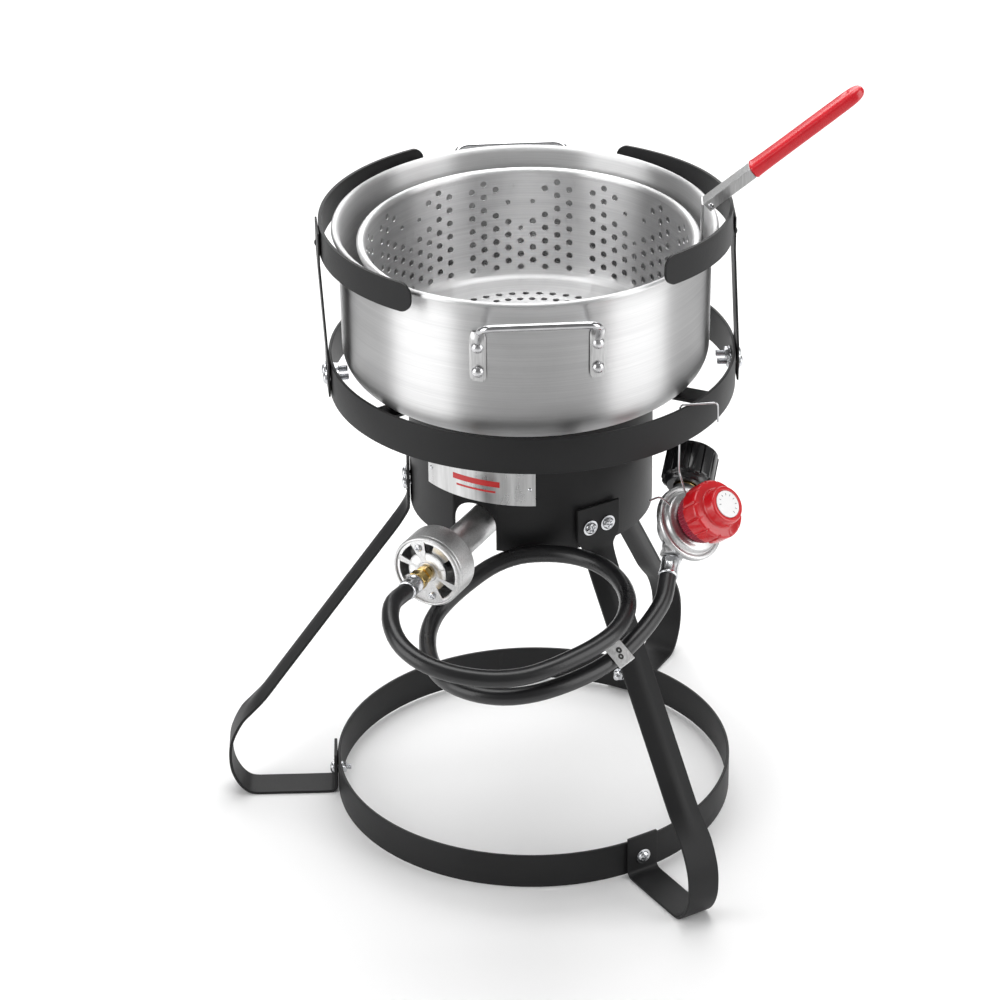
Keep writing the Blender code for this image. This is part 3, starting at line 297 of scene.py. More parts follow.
# ------------------------------------------------------------------ mesh helpers
def place(name, mesh, look, node=None, body="stand", sharp=32.0, bevel=0.0, segs=2):
    """One piece: mesh in the part's own frame, smooth but for real edges, riding on its body."""
    verts, faces = mesh
    if body in SET_OFF:
        verts = [Vector(q) + SET_OFF[body] for q in verts]
    me = bpy.data.meshes.new(name)
    me.from_pydata([(v[0] + AXIS.x, v[1] + AXIS.y, v[2]) for v in verts], [], faces)
    bm = bmesh.new()
    bm.from_mesh(me)
    bmesh.ops.remove_doubles(bm, verts=bm.verts, dist=1e-7)
    bmesh.ops.dissolve_degenerate(bm, edges=bm.edges, dist=1e-7)
    bmesh.ops.recalc_face_normals(bm, faces=bm.faces)
    if all(len(e.link_faces) == 2 for e in bm.edges) and bm.calc_volume(signed=True) < 0:
        bmesh.ops.reverse_faces(bm, faces=bm.faces)
    for f in bm.faces:
        f.smooth = True
    for e in bm.edges:
        if len(e.link_faces) == 2 and e.calc_face_angle(0) > radians(sharp):
            e.smooth = False
    bm.to_mesh(me)
    bm.free()
    me.materials.append(look)
    ob = bpy.data.objects.new(name, me)
    bpy.context.scene.collection.objects.link(ob)
    if body:
        ride(ob, body, node)
    if bevel:
        soften(ob, bevel, segs).harden_normals = True
    return ob


def ride(ob, body, node=None):
    """Put a piece on its body; it can stand for a CAD node, which it hides."""
    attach(ob, body)
    if node:
        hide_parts(node)


def soften(ob, width, segs=2, angle=35):
    b = ob.modifiers.new("edge", "BEVEL")
    b.width, b.segments, b.limit_method, b.angle_limit = width, segs, "ANGLE", radians(angle)
    return b


def to_frame(origin, z_axis, x_hint=(0, 0, 1)):
    z = Vector(z_axis).normalized()
    x = Vector(x_hint) - z * Vector(x_hint).dot(z)
    if x.length < 1e-6:
        x = Vector((1, 0, 0)) - z * z.x
    x.normalize()
    m = Matrix((x, z.cross(x), z)).transposed().to_4x4()
    m.translation = Vector(origin)
    return m


def turn_z(az):
    return Matrix.Rotation(radians(az), 4, "Z")


def polar(r, az, z=0.0, off=0.0):
    a = radians(az)
    return Vector((r * cos(a) - off * sin(a), r * sin(a) + off * cos(a), z))


def round_profile(points, radius=0.0004, steps=2, closed=True, keep=()):
    """Small rounds on the corners of an (r, z) outline."""
    n = len(points)
    out = []
    for i, p in enumerate(points):
        p = Vector(p)
        if i in keep or (not closed and i in (0, n - 1)) or p.x < 1e-9:
            out.append(tuple(p))
            continue
        a, b = Vector(points[i - 1]), Vector(points[(i + 1) % n])
        u, v = a - p, b - p
        if u.length < 1e-9 or v.length < 1e-9:
            out.append(tuple(p))
            continue
        r = min(radius, u.length * 0.4, v.length * 0.4)
        s, e = p + u.normalized() * r, p + v.normalized() * r
        for k in range(steps + 1):
            t = k / steps
            out.append(tuple(s * (1 - t) ** 2 + p * 2 * t * (1 - t) + e * t * t))
    return out


def mm(*flat):
    """Pairs of millimetres, given flat, as an outline in metres."""
    return [(flat[i] / 1000, flat[i + 1] / 1000) for i in range(0, len(flat), 2)]


def lathe(profile, radius, n, mat=None, steps=2, wave=None):
    """An (r, z) outline with small rounds on its corners, turned about the local z axis."""
    return turned(round_profile(profile, radius, steps), n, mat, wave)


def turned(profile, n, mat=None, wave=None, closed=True):
    """Vertices and faces of an (r, z) outline turned about the local z axis."""
    mat = mat or Matrix()
    verts, rings, faces = [], [], []
    for r, z in profile:
        if r < 1e-9:
            rings.append([len(verts)])
            verts.append(mat @ Vector((0, 0, z)))
            continue
        ids = []
        for i in range(n):
            a = 2 * pi * i / n
            k = wave(i / n, r, z) if wave else 1.0
            ids.append(len(verts))
            verts.append(mat @ Vector((r * k * cos(a), r * k * sin(a), z)))
        rings.append(ids)
    m = len(profile)
    for j in range(m if closed else m - 1):
        a, b = rings[j], rings[(j + 1) % m]
        if len(a) == 1 and len(b) == 1:
            continue
        for i in range(n):
            i2 = (i + 1) % n
            if len(a) == 1:
                faces.append((a[0], b[i], b[i2]))
            elif len(b) == 1:
                faces.append((a[i], a[i2], b[0]))
            else:
                faces.append((a[i], a[i2], b[i2], b[i]))
    return verts, faces


def joined(*parts):
    """Several (vertices, faces) as one."""
    verts, faces = [], []
    for v, f in parts:
        k = len(verts)
        verts += list(v)
        faces += [tuple(i + k for i in q) for q in f]
    return verts, faces


def skin(rows, n, caps=True):
    """Faces over rows of n points: walls between the rows, and a cap on each end."""
    faces = [(j * n + i, j * n + (i + 1) % n, (j + 1) * n + (i + 1) % n,
        (j + 1) * n + i) for j in range(rows - 1) for i in range(n)]
    if caps:
        faces += [tuple(reversed(range(n))), tuple(range((rows - 1) * n, rows * n))]
    return faces


def loft(sections, mat=None):
    """Caps and walls between same-count outlines [(z, [(x, y), ...]), ...]."""
    mat = mat or Matrix()
    n = len(sections[0][1])
    verts = [mat @ Vector((x, y, z)) for z, pts in sections for x, y in pts]
    return verts, skin(len(sections), n)


def circle(r, n=24, turn=0.0):
    return [(r * cos(2 * pi * i / n + turn), r * sin(2 * pi * i / n + turn)) for i in range(n)]


def hexagon(af, n=24, corner=1.0):
    out = []
    for i in range(n):
        a = 2 * pi * i / n
        k = (af / 2) / cos(((a + pi / 6) % (pi / 3)) - pi / 6)
        k = min(k, af / 2 * 1.1547 * corner)
        out.append((k * cos(a), k * sin(a)))
    return out


def wire_mesh(path, r, n=16):
    """Round wire along a path of points."""
    pts = [Vector(p) for p in path]
    tang = [(pts[min(i + 1, len(pts) - 1)] - pts[max(i - 1,
        0)]).normalized() for i in range(len(pts))]
    ref = Vector((0, 0, 1)) if abs(tang[0].z) < 0.9 else Vector((1, 0, 0))
    x = (ref - tang[0] * ref.dot(tang[0])).normalized()
    verts = []
    for p, t in zip(pts, tang):
        x = (x - t * x.dot(t)).normalized()
        y = t.cross(x)
        for i in range(n):
            a = 2 * pi * i / n
            verts.append(p + x * (r * cos(a)) + y * (r * sin(a)))
    return verts, skin(len(pts), n)


def fillet(points, radius, steps=8):
    pts = [Vector(p) for p in points]
    out = [pts[0]]
    for i in range(1, len(pts) - 1):
        a, b, c = pts[i - 1], pts[i], pts[i + 1]
        u, v = (a - b), (c - b)
        r = min(radius, u.length * 0.45, v.length * 0.45)
        p, q = b + u.normalized() * r, b + v.normalized() * r
        for s in range(steps + 1):
            t = s / steps
            out.append(p * (1 - t) ** 2 + b * 2 * t * (1 - t) + q * t ** 2)
    out.append(pts[-1])
    return out


def smooth_route(points, step):
    """Points at even spacing on one smooth curve through the route."""
    p = [Vector(q) for q in points]
    p = [p[0] * 2 - p[1]] + p + [p[-1] * 2 - p[-2]]
    fine = []
    for i in range(1, len(p) - 2):
        for s in range(24):
            t = s / 24
            a, b, c, d = p[i - 1], p[i], p[i + 1], p[i + 2]
            fine.append(0.5 * ((2 * b) + (c - a) * t + (2 * a - 5 * b + 4 * c - d) * t * t
                + (3 * b - a - 3 * c + d) * t ** 3))
    fine.append(p[-2])
    length = [0.0]
    for i in range(1, len(fine)):
        length.append(length[-1] + (fine[i] - fine[i - 1]).length)
    count = max(4, int(round(length[-1] / step)))
    out, j = [], 0
    for k in range(count + 1):
        want = length[-1] * k / count
        while j < len(length) - 2 and length[j + 1] < want:
            j += 1
        f = (want - length[j]) / max(1e-9, length[j + 1] - length[j])
        out.append(fine[j].lerp(fine[j + 1], min(1.0, f)))
    return out, length[-1]


def smooth_values(rows, sub):
    """Catmull-Rom through rows of numbers, sub steps between each pair."""
    out = []
    n = len(rows)
    for i in range(n - 1):
        a, b = rows[max(i - 1, 0)], rows[i]
        c, d = rows[i + 1], rows[min(i + 2, n - 1)]
        for s in range(sub):
            t = s / sub
            out.append(tuple(0.5 * ((2 * q) + (r - p) * t + (2 * p - 5 * q + 4 * r - w) * t * t
                + (3 * q - p - 3 * r + w) * t ** 3) for p, q, r, w in zip(a, b, c, d)))
    out.append(tuple(rows[-1]))
    return out


def cut_by(ob, cutters):
    """Real openings: cut, keep the result as the mesh, drop the cutters."""
    for c in cutters:
        mod = ob.modifiers.new("cut", "BOOLEAN")
        mod.operation = "DIFFERENCE"
        mod.solver = "EXACT"
        mod.object = c
    dg = bpy.context.evaluated_depsgraph_get()
    me = bpy.data.meshes.new_from_object(ob.evaluated_get(dg))
    ob.modifiers.clear()
    old = ob.data
    ob.data = me
    bpy.data.meshes.remove(old)
    for c in cutters:
        bpy.data.objects.remove(c, do_unlink=True)
    return ob


def bar(path, widths, thick, mat, across=3, ridge=None):
    """Flat bar along (u, v); ridge lifts the middle by its own amount at each point."""
    n = len(path)
    verts = []
    for i, (u, v) in enumerate(path):
        a, b = path[max(i - 1, 0)], path[min(i + 1, n - 1)]
        t = Vector((b[0] - a[0], b[1] - a[1])).normalized()
        nrm = Vector((-t.y, t.x))
        d = ridge[i] if ridge else 0.0
        w = widths[i] / 2
        for side in (1, -1):
            for c in range(across):
                s = (-1 + 2 * c / (across - 1)) * side
                off = side * thick / 2 - d * max(0.0, abs(s) - 0.1) / 0.9
                verts.append(mat @ Vector((u + nrm.x * off, s * w, v + nrm.y * off)))
    k = 2 * across
    faces = skin(n, k, caps=False)
    for base, flip in ((0, True), ((n - 1) * k, False)):
        for c in range(across - 1):
            q = (base + c, base + c + 1, base + k - 2 - c, base + k - 1 - c)
            faces.append(tuple(reversed(q)) if flip else q)
    return verts, faces


# ------------------------------------------------------------------ stand
def top_radius(az):
    """Outside of the top ring, measured from the stand's axis at this azimuth."""
    a = radians(az)
    return TOP_AT * cos(a) + sqrt(TOP_R ** 2 - (TOP_AT * sin(a)) ** 2)


WELD_AZ, SEAM_AZ = 100.0, 128                  # both on the far side


def hoop(name, z0, r=RING_R, shift=0.0):
    prof = round_profile([(r - RING_T, z0), (r, z0), (r, z0 + RING_H), (r - RING_T, z0 + RING_H)],
        0.0006, 3)
    place(name + "_hoop", turned(prof, 200, Matrix.Translation((shift, 0, 0))), BLACK, name,
        sharp=50)
    # the butt weld that closes the hoop, a low bead inside
    az = WELD_AZ
    verts, faces = [], []
    for i in range(25):
        z = z0 + 0.002 + (RING_H - 0.004) * i / 24
        h = 0.0004 + 0.0001 * sin(i * 2.1)
        for k in range(5):
            s = -1 + k / 2
            verts.append(polar(r - RING_T - h * (1 - s * s) + 0.00005, az + s * 0.9, z))
    for i in range(24):
        for k in range(4):
            a = i * 5 + k
            faces.append((a, a + 1, a + 6, a + 5))
    place(name + "_weld", (verts, faces), BLACK, sharp=80)


def shroud():
    prof = round_profile([(SHROUD_R - SHROUD_T, SHROUD_Z0), (SHROUD_R, SHROUD_Z0),
        (SHROUD_R, SHROUD_Z1), (SHROUD_R - SHROUD_T, SHROUD_Z1)], 0.0004, 2)
    ob = place("shroud_wall", turned(prof, 160), BLACK, body=None)
    spring = VENT_Z + 0.004
    pts = [(-ARCH_R, SHROUD_Z0 - 0.01 - spring), (ARCH_R, SHROUD_Z0 - 0.01 - spring)]
    pts += [(ARCH_R * cos(pi * i / 28), ARCH_R * sin(pi * i / 28)) for i in range(29)]
    m = to_frame(polar(SHROUD_R - 0.02, VENT_AZ, spring), polar(1, VENT_AZ), (0, 0, 1))
    v, f = loft([(0, [(z, x) for x, z in pts]), (0.04, [(z, x) for x, z in pts])], m)
    cut_by(ob, [place("cutter", (v, f), BLACK, body=None)])
    ride(ob, "stand", "wind_shroud")
    # rolled seam on the back
    s = [(polar(SHROUD_R + 0.0001, SEAM_AZ, SHROUD_Z0 + 0.003)),
        (polar(SHROUD_R + 0.0001, SEAM_AZ, SHROUD_Z1 - 0.003))]
    place("shroud_seam", wire_mesh([s[0].lerp(s[1], i / 20) for i in range(21)], 0.0009, 10), BLACK,
        sharp=80)


BAR_IN = 0.086                                 # inner end of a support bar


def support_bars():
    for i, az in enumerate(BAR_AZ):
        m = turn_z(az)
        z = BAR_Z + BAR_T / 2
        r1 = sqrt((top_radius(az) - RING_T) ** 2 - (BAR_W / 2) ** 2) - 1.6 * GAP
        place("pot_bar_%d" % (i + 1), bar([(BAR_IN + (r1 - BAR_IN) * k / 6, z) for k in range(7)],
            [BAR_W] * 7, BAR_T, m), BLACK, "support_bar_%d" % (i + 1), bevel=0.0005)
        # weld bead where the bar meets the ring
        bead = [m @ Vector((r1 - 0.0004, -BAR_W / 2 + BAR_W * k / 14,
            z + BAR_T / 2 + 0.0001)) for k in range(15)]
        place("bar_weld_%d" % (i + 1), wire_mesh(bead, 0.0012, 8), BLACK, sharp=80)


def leg_rows():
    r0 = SHROUD_R + GAP + LEG_T / 2
    r1 = RING_R + GAP + LEG_T / 2
    t = LEG_T / 2
    p = [(r0, 0.312, 0, PLATE_W), (r0, 0.299, 0, PLATE_W), (r0, 0.286, 0, PLATE_W),
        (r0, 0.281, 0, LEG_W + 0.008), (r0 + 0.0008, 0.2765, 0.2, LEG_W + 0.002),
        (r0 + 0.0032, 0.2715, 0.6, LEG_W - 0.0005), (r0 + 0.0125, 0.2585, 1.0, LEG_RIDGE_W)]
    for k in range(1, 8):
        s = k / 8
        p.append((r0 + 0.0125 + (0.227 - r0 - 0.0125) * s, 0.2585 + (0.0965 - 0.2585) * s, 1.0,
            LEG_RIDGE_W))
    p += [(0.227, 0.0965, 1.0, LEG_RIDGE_W), (0.2365, 0.083, 0.5, LEG_RIDGE_W + 0.0006),
        (0.244, 0.072, 0.0, LEG_W), (0.25, 0.061, 0, LEG_W), (0.2542, 0.049, 0, LEG_W),
        (0.2553, 0.036, 0, LEG_W), (0.2538, 0.023, 0, LEG_W), (0.2485, 0.011, 0, LEG_W),
        (0.2415, 0.0035, 0, LEG_W), (0.233, t, 0, LEG_W), (0.215, t, 0, LEG_W),
        (0.195, t, 0, LEG_W)]
    p += [(r1 + 0.008, t, 0, LEG_W), (r1 + 0.0028, t + 0.0008, 0, LEG_W),
        (r1 + 0.0006, t + 0.003, 0, LEG_W), (r1, t + 0.0075, 0, LEG_W), (r1, 0.023, 0, LEG_W),
        (r1, 0.037, 0, LEG_W)]
    return p


def head_mesh(r, h, m):
    """Pan head with a cross recess, seen from outside (local -z is outwards)."""
    nr, na = 16, 64
    faces = []
    grid = [[0] * na for _ in range(nr)]
    pts = [(0.0, 0.0)]
    for i in range(nr):
        rr = r * (i + 1) / nr
        for k in range(na):
            a = 2 * pi * k / na
            grid[i][k] = len(pts)
            pts.append((rr * cos(a), rr * sin(a)))
    out = []
    for x, y in pts:
        q = hypot(x, y) / r
        z = h * sqrt(max(0.0, 1 - (q * 0.93) ** 2.6))
        w, l = 0.13 * r, 0.58 * r
        dx = max(abs(x) - w, abs(y) - l) if abs(y) > abs(x) else max(abs(y) - w, abs(x) - l)
        z -= 0.55 * h * min(1.0, max(0.0, 0.5 - dx / (0.1 * r)))
        out.append(m @ Vector((x, y, -z)))
    for k in range(na):
        k2 = (k + 1) % na
        faces.append((0, grid[0][k2], grid[0][k]))
        for i in range(nr - 1):
            faces.append((grid[i][k], grid[i][k2], grid[i + 1][k2], grid[i + 1][k]))
    base = len(out)
    for k in range(na):
        a = 2 * pi * k / na
        out.append(m @ Vector((r * cos(a), r * sin(a), 0.0001)))
    for k in range(na):
        k2 = (k + 1) % na
        faces.append((grid[nr - 1][k], grid[nr - 1][k2], base + k2, base + k))
    faces.append(tuple(base + k for k in range(na)))
    return out, faces


def bolt(name, head_at, axis, grip, head_r=0.0052, shank=0.0024, nut_af=0.0085, tail=0.004,
        turn=0.0):
    """Cross-recess screw, washer, lock washer, nut and threaded tail."""
    m = to_frame(head_at, axis) @ turn_z(turn)
    parts = [head_mesh(head_r * 0.93, 0.0031, m @ Matrix.Translation((0, 0, -0.0006)))]
    parts.append(lathe([(shank * 0.9, -0.0007), (head_r * 1.25, -0.0007), (head_r * 1.25, 0.0),
        (shank * 0.9, 0.0)], 0.0002, 40, m))
    parts.append(loft([(-0.0006, circle(shank, 20)), (grip, circle(shank, 20))], m))
    g = grip
    parts.append(turned([(shank, g), (nut_af * 0.66, g), (nut_af * 0.66, g + 0.0006),
        (shank, g + 0.0006)], 32, m))
    parts.append(loft([(g + 0.0006, circle(nut_af * 0.47, 24)), (g + 0.0009, hexagon(nut_af)),
        (g + 0.0036, hexagon(nut_af)), (g + 0.004, circle(nut_af * 0.47, 24))], m))
    # threaded tail
    pitch, rows = 0.0008, []
    z = g + 0.0038
    end = g + 0.004 + tail
    while z < end - pitch:
        rows += [(z, circle(shank, 20)), (z + pitch * 0.5, circle(shank * 0.86, 20))]
        z += pitch
    rows += [(end - 0.0003, circle(shank, 20)), (end, circle(shank * 0.75, 20))]
    parts.append(loft(rows, m))
    place(name + "_set", joined(*parts), ZINC, name, sharp=40)


def legs():
    rows = smooth_values(leg_rows(), 4)
    turns = iter((12, 51, 33, 70, 24, 62, 41, 5, 80))
    for nm, az in LEG_AZ.items():
        m = turn_z(az)
        place("leg_bar_" + nm, bar([(r, max(z, LEG_T / 2)) for r, z, k, w in rows],
            [w for r, z, k, w in rows], LEG_T, m, 7,
            [max(0.0, k) * LEG_RIDGE for r, z, k, w in rows]), BLACK, "leg_" + nm, sharp=28,
            bevel=0.0005)
        for k, off in enumerate((-LEG_BOLT_OFF, LEG_BOLT_OFF)):
            h = polar(SHROUD_R + GAP + LEG_T + GAP, az, LEG_BOLT_Z, off)
            bolt("bolt_leg_%s_%d" % (nm, k + 1), h, -polar(1, az), LEG_T + SHROUD_T + 0.0016,
                turn=next(turns))
        h = polar(RING_R + GAP + LEG_T + GAP, az, RING_BOLT_Z)
        bolt("bolt_foot_" + nm, h, -polar(1, az), LEG_T + RING_T + 4 * GAP, turn=next(turns))


def uprights():
    for side, az in UPRIGHT_AZ.items():
        x = top_radius(az) + GAP + UPRIGHT_T / 2
        xt = UPRIGHT_TOP[side]
        m = turn_z(az)
        path = [(x, UPRIGHT_Z0), (x, 0.396), (x, 0.41)]
        path += [(x + (xt - x) * k / 10, 0.4125 + (0.4985 - 0.4125) * k / 10) for k in range(11)]
        path += [(xt, 0.501), (xt, 0.513), (xt, UPRIGHT_Z1)]
        place("post_" + side, bar(path, [UPRIGHT_W] * len(path), UPRIGHT_T, m), BLACK,
            "upright_" + side, bevel=0.0004)
        for k, off in enumerate((-UPRIGHT_BOLT_OFF, UPRIGHT_BOLT_OFF)):
            bolt("bolt_upright_%s_%d" % (side, k + 1),
                polar(x + UPRIGHT_T / 2 + GAP, az, UPRIGHT_BOLT_Z, off), -polar(1, az),
                UPRIGHT_T + RING_T + 4 * GAP + 0.0005, 0.0052, 0.0027, 0.0092, 0.0075,
                turn=20 + 37 * k)
        arc(side)
        # a burr of weld on the outside of the post
        fr = to_frame(polar(xt + UPRIGHT_T / 2 - 0.0001, az, ARC_Z[side] - 0.01, -0.0125),
            polar(1, az))
        place("post_weld_" + side, turned(mm(0, 1.4, 1.3, 1.2, 2.2, 0.6, 2.6, -0.2, 0, -0.2), 24,
            fr), BLACK, sharp=80)


def arc(side):
    a0, a1 = ARC_SPAN[side]
    tilt = radians(ARC_TILT[side])
    half, ro, ri = ARC_H / 2, ARC_R[side], ARC_R[side] - RING_T
    cx, cy = ARC_AT[side]
    rc = 0.01
    corner = degrees(rc / ro)
    cols = []
    for i in range(13):
        t = i / 12 * pi / 2
        cols.append((a0 + corner * (1 - cos(t)), half - rc + rc * sin(t)))
    for i in range(1, 72):
        cols.append((a0 + corner + (a1 - a0 - 2 * corner) * i / 72, half))
    for i in range(13):
        t = (12 - i) / 12 * pi / 2
        cols.append((a1 - corner * (1 - cos(t)), half - rc + rc * sin(t)))
    verts = []
    for a, h in cols:
        for r, s in ((ri, -1), (ro, -1), (ro, 1), (ri, 1)):
            p = polar(r, a, s * h)
            verts.append(Vector((p.x + cx, p.y * cos(tilt) + p.z * sin(tilt) + cy,
                ARC_Z[side] + p.z * cos(tilt) - p.y * sin(tilt))))
    faces = skin(len(cols), 4)
    place("guard_arc_" + side, (verts, faces), BLACK, "retaining_arc_" + side, sharp=40,
        bevel=0.0005)


def curved_patch(a0, a1, z0, z1, r0, r1, n=24):
    corners = ((r0, z0), (r1, z0), (r1, z1), (r0, z1))
    verts = [polar(r, a0 + (a1 - a0) * i / n, z) for i in range(n + 1) for r, z in corners]
    return verts, skin(n + 1, 4)


NAMEPLATE = (-145.5, -88.0, 0.3185, 0.348)    # azimuths and heights of its edges


def nameplate():
    a0, a1, z0, z1 = NAMEPLATE
    r = SHROUD_R + GAP
    place("plate_sheet", curved_patch(a0, a1, z0, z1, r, r + 0.0006, 48), PLATE, "nameplate",
        bevel=0.0002)
    rv = []
    for a in (a0 + 2.6, a1 - 2.6):
        fr = to_frame(polar(r + 0.0005, a, (z0 + z1) / 2), polar(1, a))
        rv.append(turned(mm(0, 1.2, 0.9, 1, 1.5, 0.5, 1.7, 0, 0, 0), 20, fr))
    place("plate_rivets", joined(*rv), ZINC, sharp=60)
    # plain printed bars, no lettering
    place("plate_print", joined(curved_patch(-128.5, -104.5, 0.3335, 0.3385, r + 0.0006, r + 0.0007,
        24), curved_patch(-126.5, -106.5, 0.3283, 0.33, r + 0.0006, r + 0.0007, 24)), INKRED,
        sharp=60)


# ------------------------------------------------------------------ burner
VENT_D = polar(1, VENT_AZ)                     # the way the burner tube points
VENT_M = to_frame(polar(0, VENT_AZ, VENT_Z), VENT_D)


def burner():
    prof = mm(0, 330, 20, 330, 24, 333, 48, 344, 52, 349, 52, 359, 46, 364, 30, 367, 0, 368)
    prof = round_profile(prof, 0.0015, 3)
    v, f = turned(prof, 128, None, lambda t, r,
        z: 1 - 0.045 * (0.5 + 0.5 * cos(t * 2 * pi * 16)) ** 2 if r > 0.045 else 1.0)
    ports = []
    for k in range(16):
        fr = to_frame(polar(0.0385, 360 * k / 16, 0.3652), (0, 0, 1))
        ports.append(turned(mm(0, 1.2, 2, 1.2, 2.6, 0.6, 2.8, -1, 0, -1), 16, fr))
    place("burner_casting", joined((v, f), *ports), IRON, "burner_head", sharp=40)
    back, face, t = BELL_FACE - BELL_DEPTH, BELL_FACE, 0.0022
    prof = [(0.0, 0.0), (0.012, 0.0), (TUBE_R, 0.003), (TUBE_R, back - 0.0075),
        (TUBE_R + 0.003, back - 0.004), (BELL_R - 0.004, back), (BELL_R, back + 0.0035),
        (BELL_R, face - 0.0052), (BELL_R - 0.0004, face - 0.0048), (BELL_R - 0.0004, face - 0.0042),
        (BELL_R, face - 0.0038), (BELL_R, face - 0.001), (BELL_R - 0.001, face), (BELL_R - t, face),
        (BELL_R - t, back + 0.004), (TUBE_R, back), (TUBE_R - t, back - 0.004), (TUBE_R - t, 0.006),
        (0.0, 0.006)]
    place("mixer_tube", lathe(prof, 0.001, 96, VENT_M, steps=3), CAST, "burner_tube", sharp=45)


def sector(m, r0, r1, a0, a1, z0, z1):
    n = max(6, int(abs(a1 - a0) / 3))
    outer = [(r1, a0 + (a1 - a0) * i / n) for i in range(n + 1)]
    inner = [(r0, a1 - (a1 - a0) * i / n) for i in range(n + 1)]
    pts = [(r * sin(radians(a)), -r * cos(radians(a))) for r, a in outer + inner]
    return place("cutter", loft([(z0, pts), (z1, pts)], m), CAST, body=None)


def face_plate():
    z0, z1, m = BELL_FACE - 0.0034, BELL_FACE - 0.0014, VENT_M
    ro = BELL_R - 0.0022 - 0.0001
    prof = round_profile([(0.0052, z0), (ro, z0), (ro, z1), (0.0085, z1), (0.008, z1 + 0.0008),
        (0.0052, z1 + 0.0008)], 0.0002, 2)
    ob = place("mixer_front", turned(prof, 96, m), CAST, body=None, sharp=40)
    cut_by(ob, [sector(m, *WINDOW_R, a0, a1, z0 - 0.003, z1 + 0.003) for a0, a1 in FACE_WINDOWS])
    ride(ob, "stand", "mixer_face")
    soften(ob, 0.0002, angle=50)
    for k, a in enumerate(SCREW_ANG):
        at = m @ Vector((sin(radians(a)) * SCREW_R, -cos(radians(a)) * SCREW_R, z1 + 0.0001))
        fr = to_frame(at, -VENT_D) @ turn_z(35 + 80 * k)
        place("face_screw_%d" % (k + 1), joined(head_mesh(0.003, 0.0019, fr),
            loft([(0.0, circle(0.0015)), (0.0055, circle(0.0015))], fr)), ZINC,
            "shutter_screw_%d" % (k + 1), sharp=40)


def air_shutter():
    z0, z1, m = BELL_FACE - 0.005, BELL_FACE - 0.0038, VENT_M
    steps, lobes = 144, ((38, 78), (205, 245))
    outer, inner = [], []
    for i in range(steps):
        a = 360.0 * i / steps
        r = 0.0255 if any(l0 - 1 <= a <= l1 + 1 for l0, l1 in lobes) else 0.0155
        outer.append((r * sin(radians(a)), -r * cos(radians(a))))
        inner.append((0.0056 * sin(radians(a)), -0.0056 * cos(radians(a))))
    verts, faces, n = [], [], steps
    for z in (z0, z1):
        verts += [m @ Vector((x, y, z)) for x, y in outer + inner]
    for i in range(n):
        j = (i + 1) % n
        faces += [(i, j, 2 * n + j, 2 * n + i), (n + j, n + i, 3 * n + i, 3 * n + j),
            (2 * n + i, 2 * n + j, 3 * n + j, 3 * n + i), (j, i, n + i, n + j)]
    place("shutter_plate", (verts, faces), SHEETZ, "air_shutter", body="shutter", bevel=0.0001)


def orifice():
    m = to_frame(polar(BELL_FACE - 0.009, VENT_AZ, VENT_Z), VENT_D) @ turn_z(12)
    c, h = (lambda r: circle(r, 48)), (lambda w, k=1.0: hexagon(w, 48, k))
    rows = [(0, c(0.0022)), (0.003, c(0.004)), (0.0094, c(0.0048)), (0.0098, c(0.0056)),
        (0.0103, h(0.0118, 0.97)), (0.0106, h(0.0118)), (0.0145, h(0.0118)),
        (0.0149, h(0.0118, 0.97)), (0.0152, c(0.0054))]
    z = 0.0154
    while z < 0.0176:
        rows += [(z, c(0.0046)), (z + 0.0003, c(0.0041))]
        z += 0.0006
    rows += [(0.018, c(0.0045)), (0.0182, c(0.0062)), (0.0186, h(0.0138, 0.97)), (0.019, h(0.0138)),
        (0.0249, h(0.0138)), (0.0253, h(0.0138, 0.97)), (0.0256, c(0.0062)), (0.0258, c(0.0056)),
        (0.009 + ORIFICE_LEN, c(0.0056))]
    place("brass_fitting", loft(rows, m), BRASS, "orifice_fitting", sharp=30)


def ferrule(name, at, axis, length):
    """Swaged sleeve with eight flats and a rolled lip at each end."""
    m = to_frame(at, axis)
    n = 64
    def flats(r, depth):
        out = []
        for i in range(n):
            a = 2 * pi * i / n
            k = r * (1 - depth * max(0.0, cos(4 * a)) ** 0.5 * 0.5 - depth * 0.2)
            out.append((k * cos(a), k * sin(a)))
        return out
    R = FERRULE_R
    rows = [(0, circle(0.006, n)), (0.0004, circle(0.0068, n)), (0.001, circle(R * 0.97, n)),
        (0.0018, circle(R, n)), (0.0028, circle(R, n)), (0.0034, flats(R, 0.1)),
        (length * 0.45, flats(R, 0.17)), (length * 0.55, flats(R, 0.17)),
        (length - 0.0032, flats(R, 0.1)), (length - 0.0026, circle(R, n)),
        (length - 0.0008, circle(R, n)), (length - 0.0002, circle(R * 0.97, n)),
        (length, circle(R * 0.93, n))]
    place(name + "_sleeve", loft(rows, m), ZINC, name, sharp=50)


# ------------------------------------------------------------------ hose
def hose():
    pts, length = smooth_route(HOSE_ROUTE, 0.0062)
    cu = bpy.data.curves.new("hose_tube", "CURVE")
    cu.dimensions = "3D"
    cu.bevel_depth = HOSE_R
    cu.bevel_resolution = 10
    cu.use_fill_caps = True
    cu.resolution_u = 1
    sp = cu.splines.new("POLY")
    sp.points.add(len(pts) - 1)
    for q, p in zip(sp.points, pts):
        q.co = (p.x + AXIS.x, p.y + AXIS.y, p.z, 1)
    sp.use_smooth = True
    cu.materials.append(RUBBER)
    ob = bpy.data.objects.new("hose_tube", cu)
    bpy.context.scene.collection.objects.link(ob)
    ride(ob, "stand", "gas_hose")
    return ob, tuple(pts[0] + AXIS), length


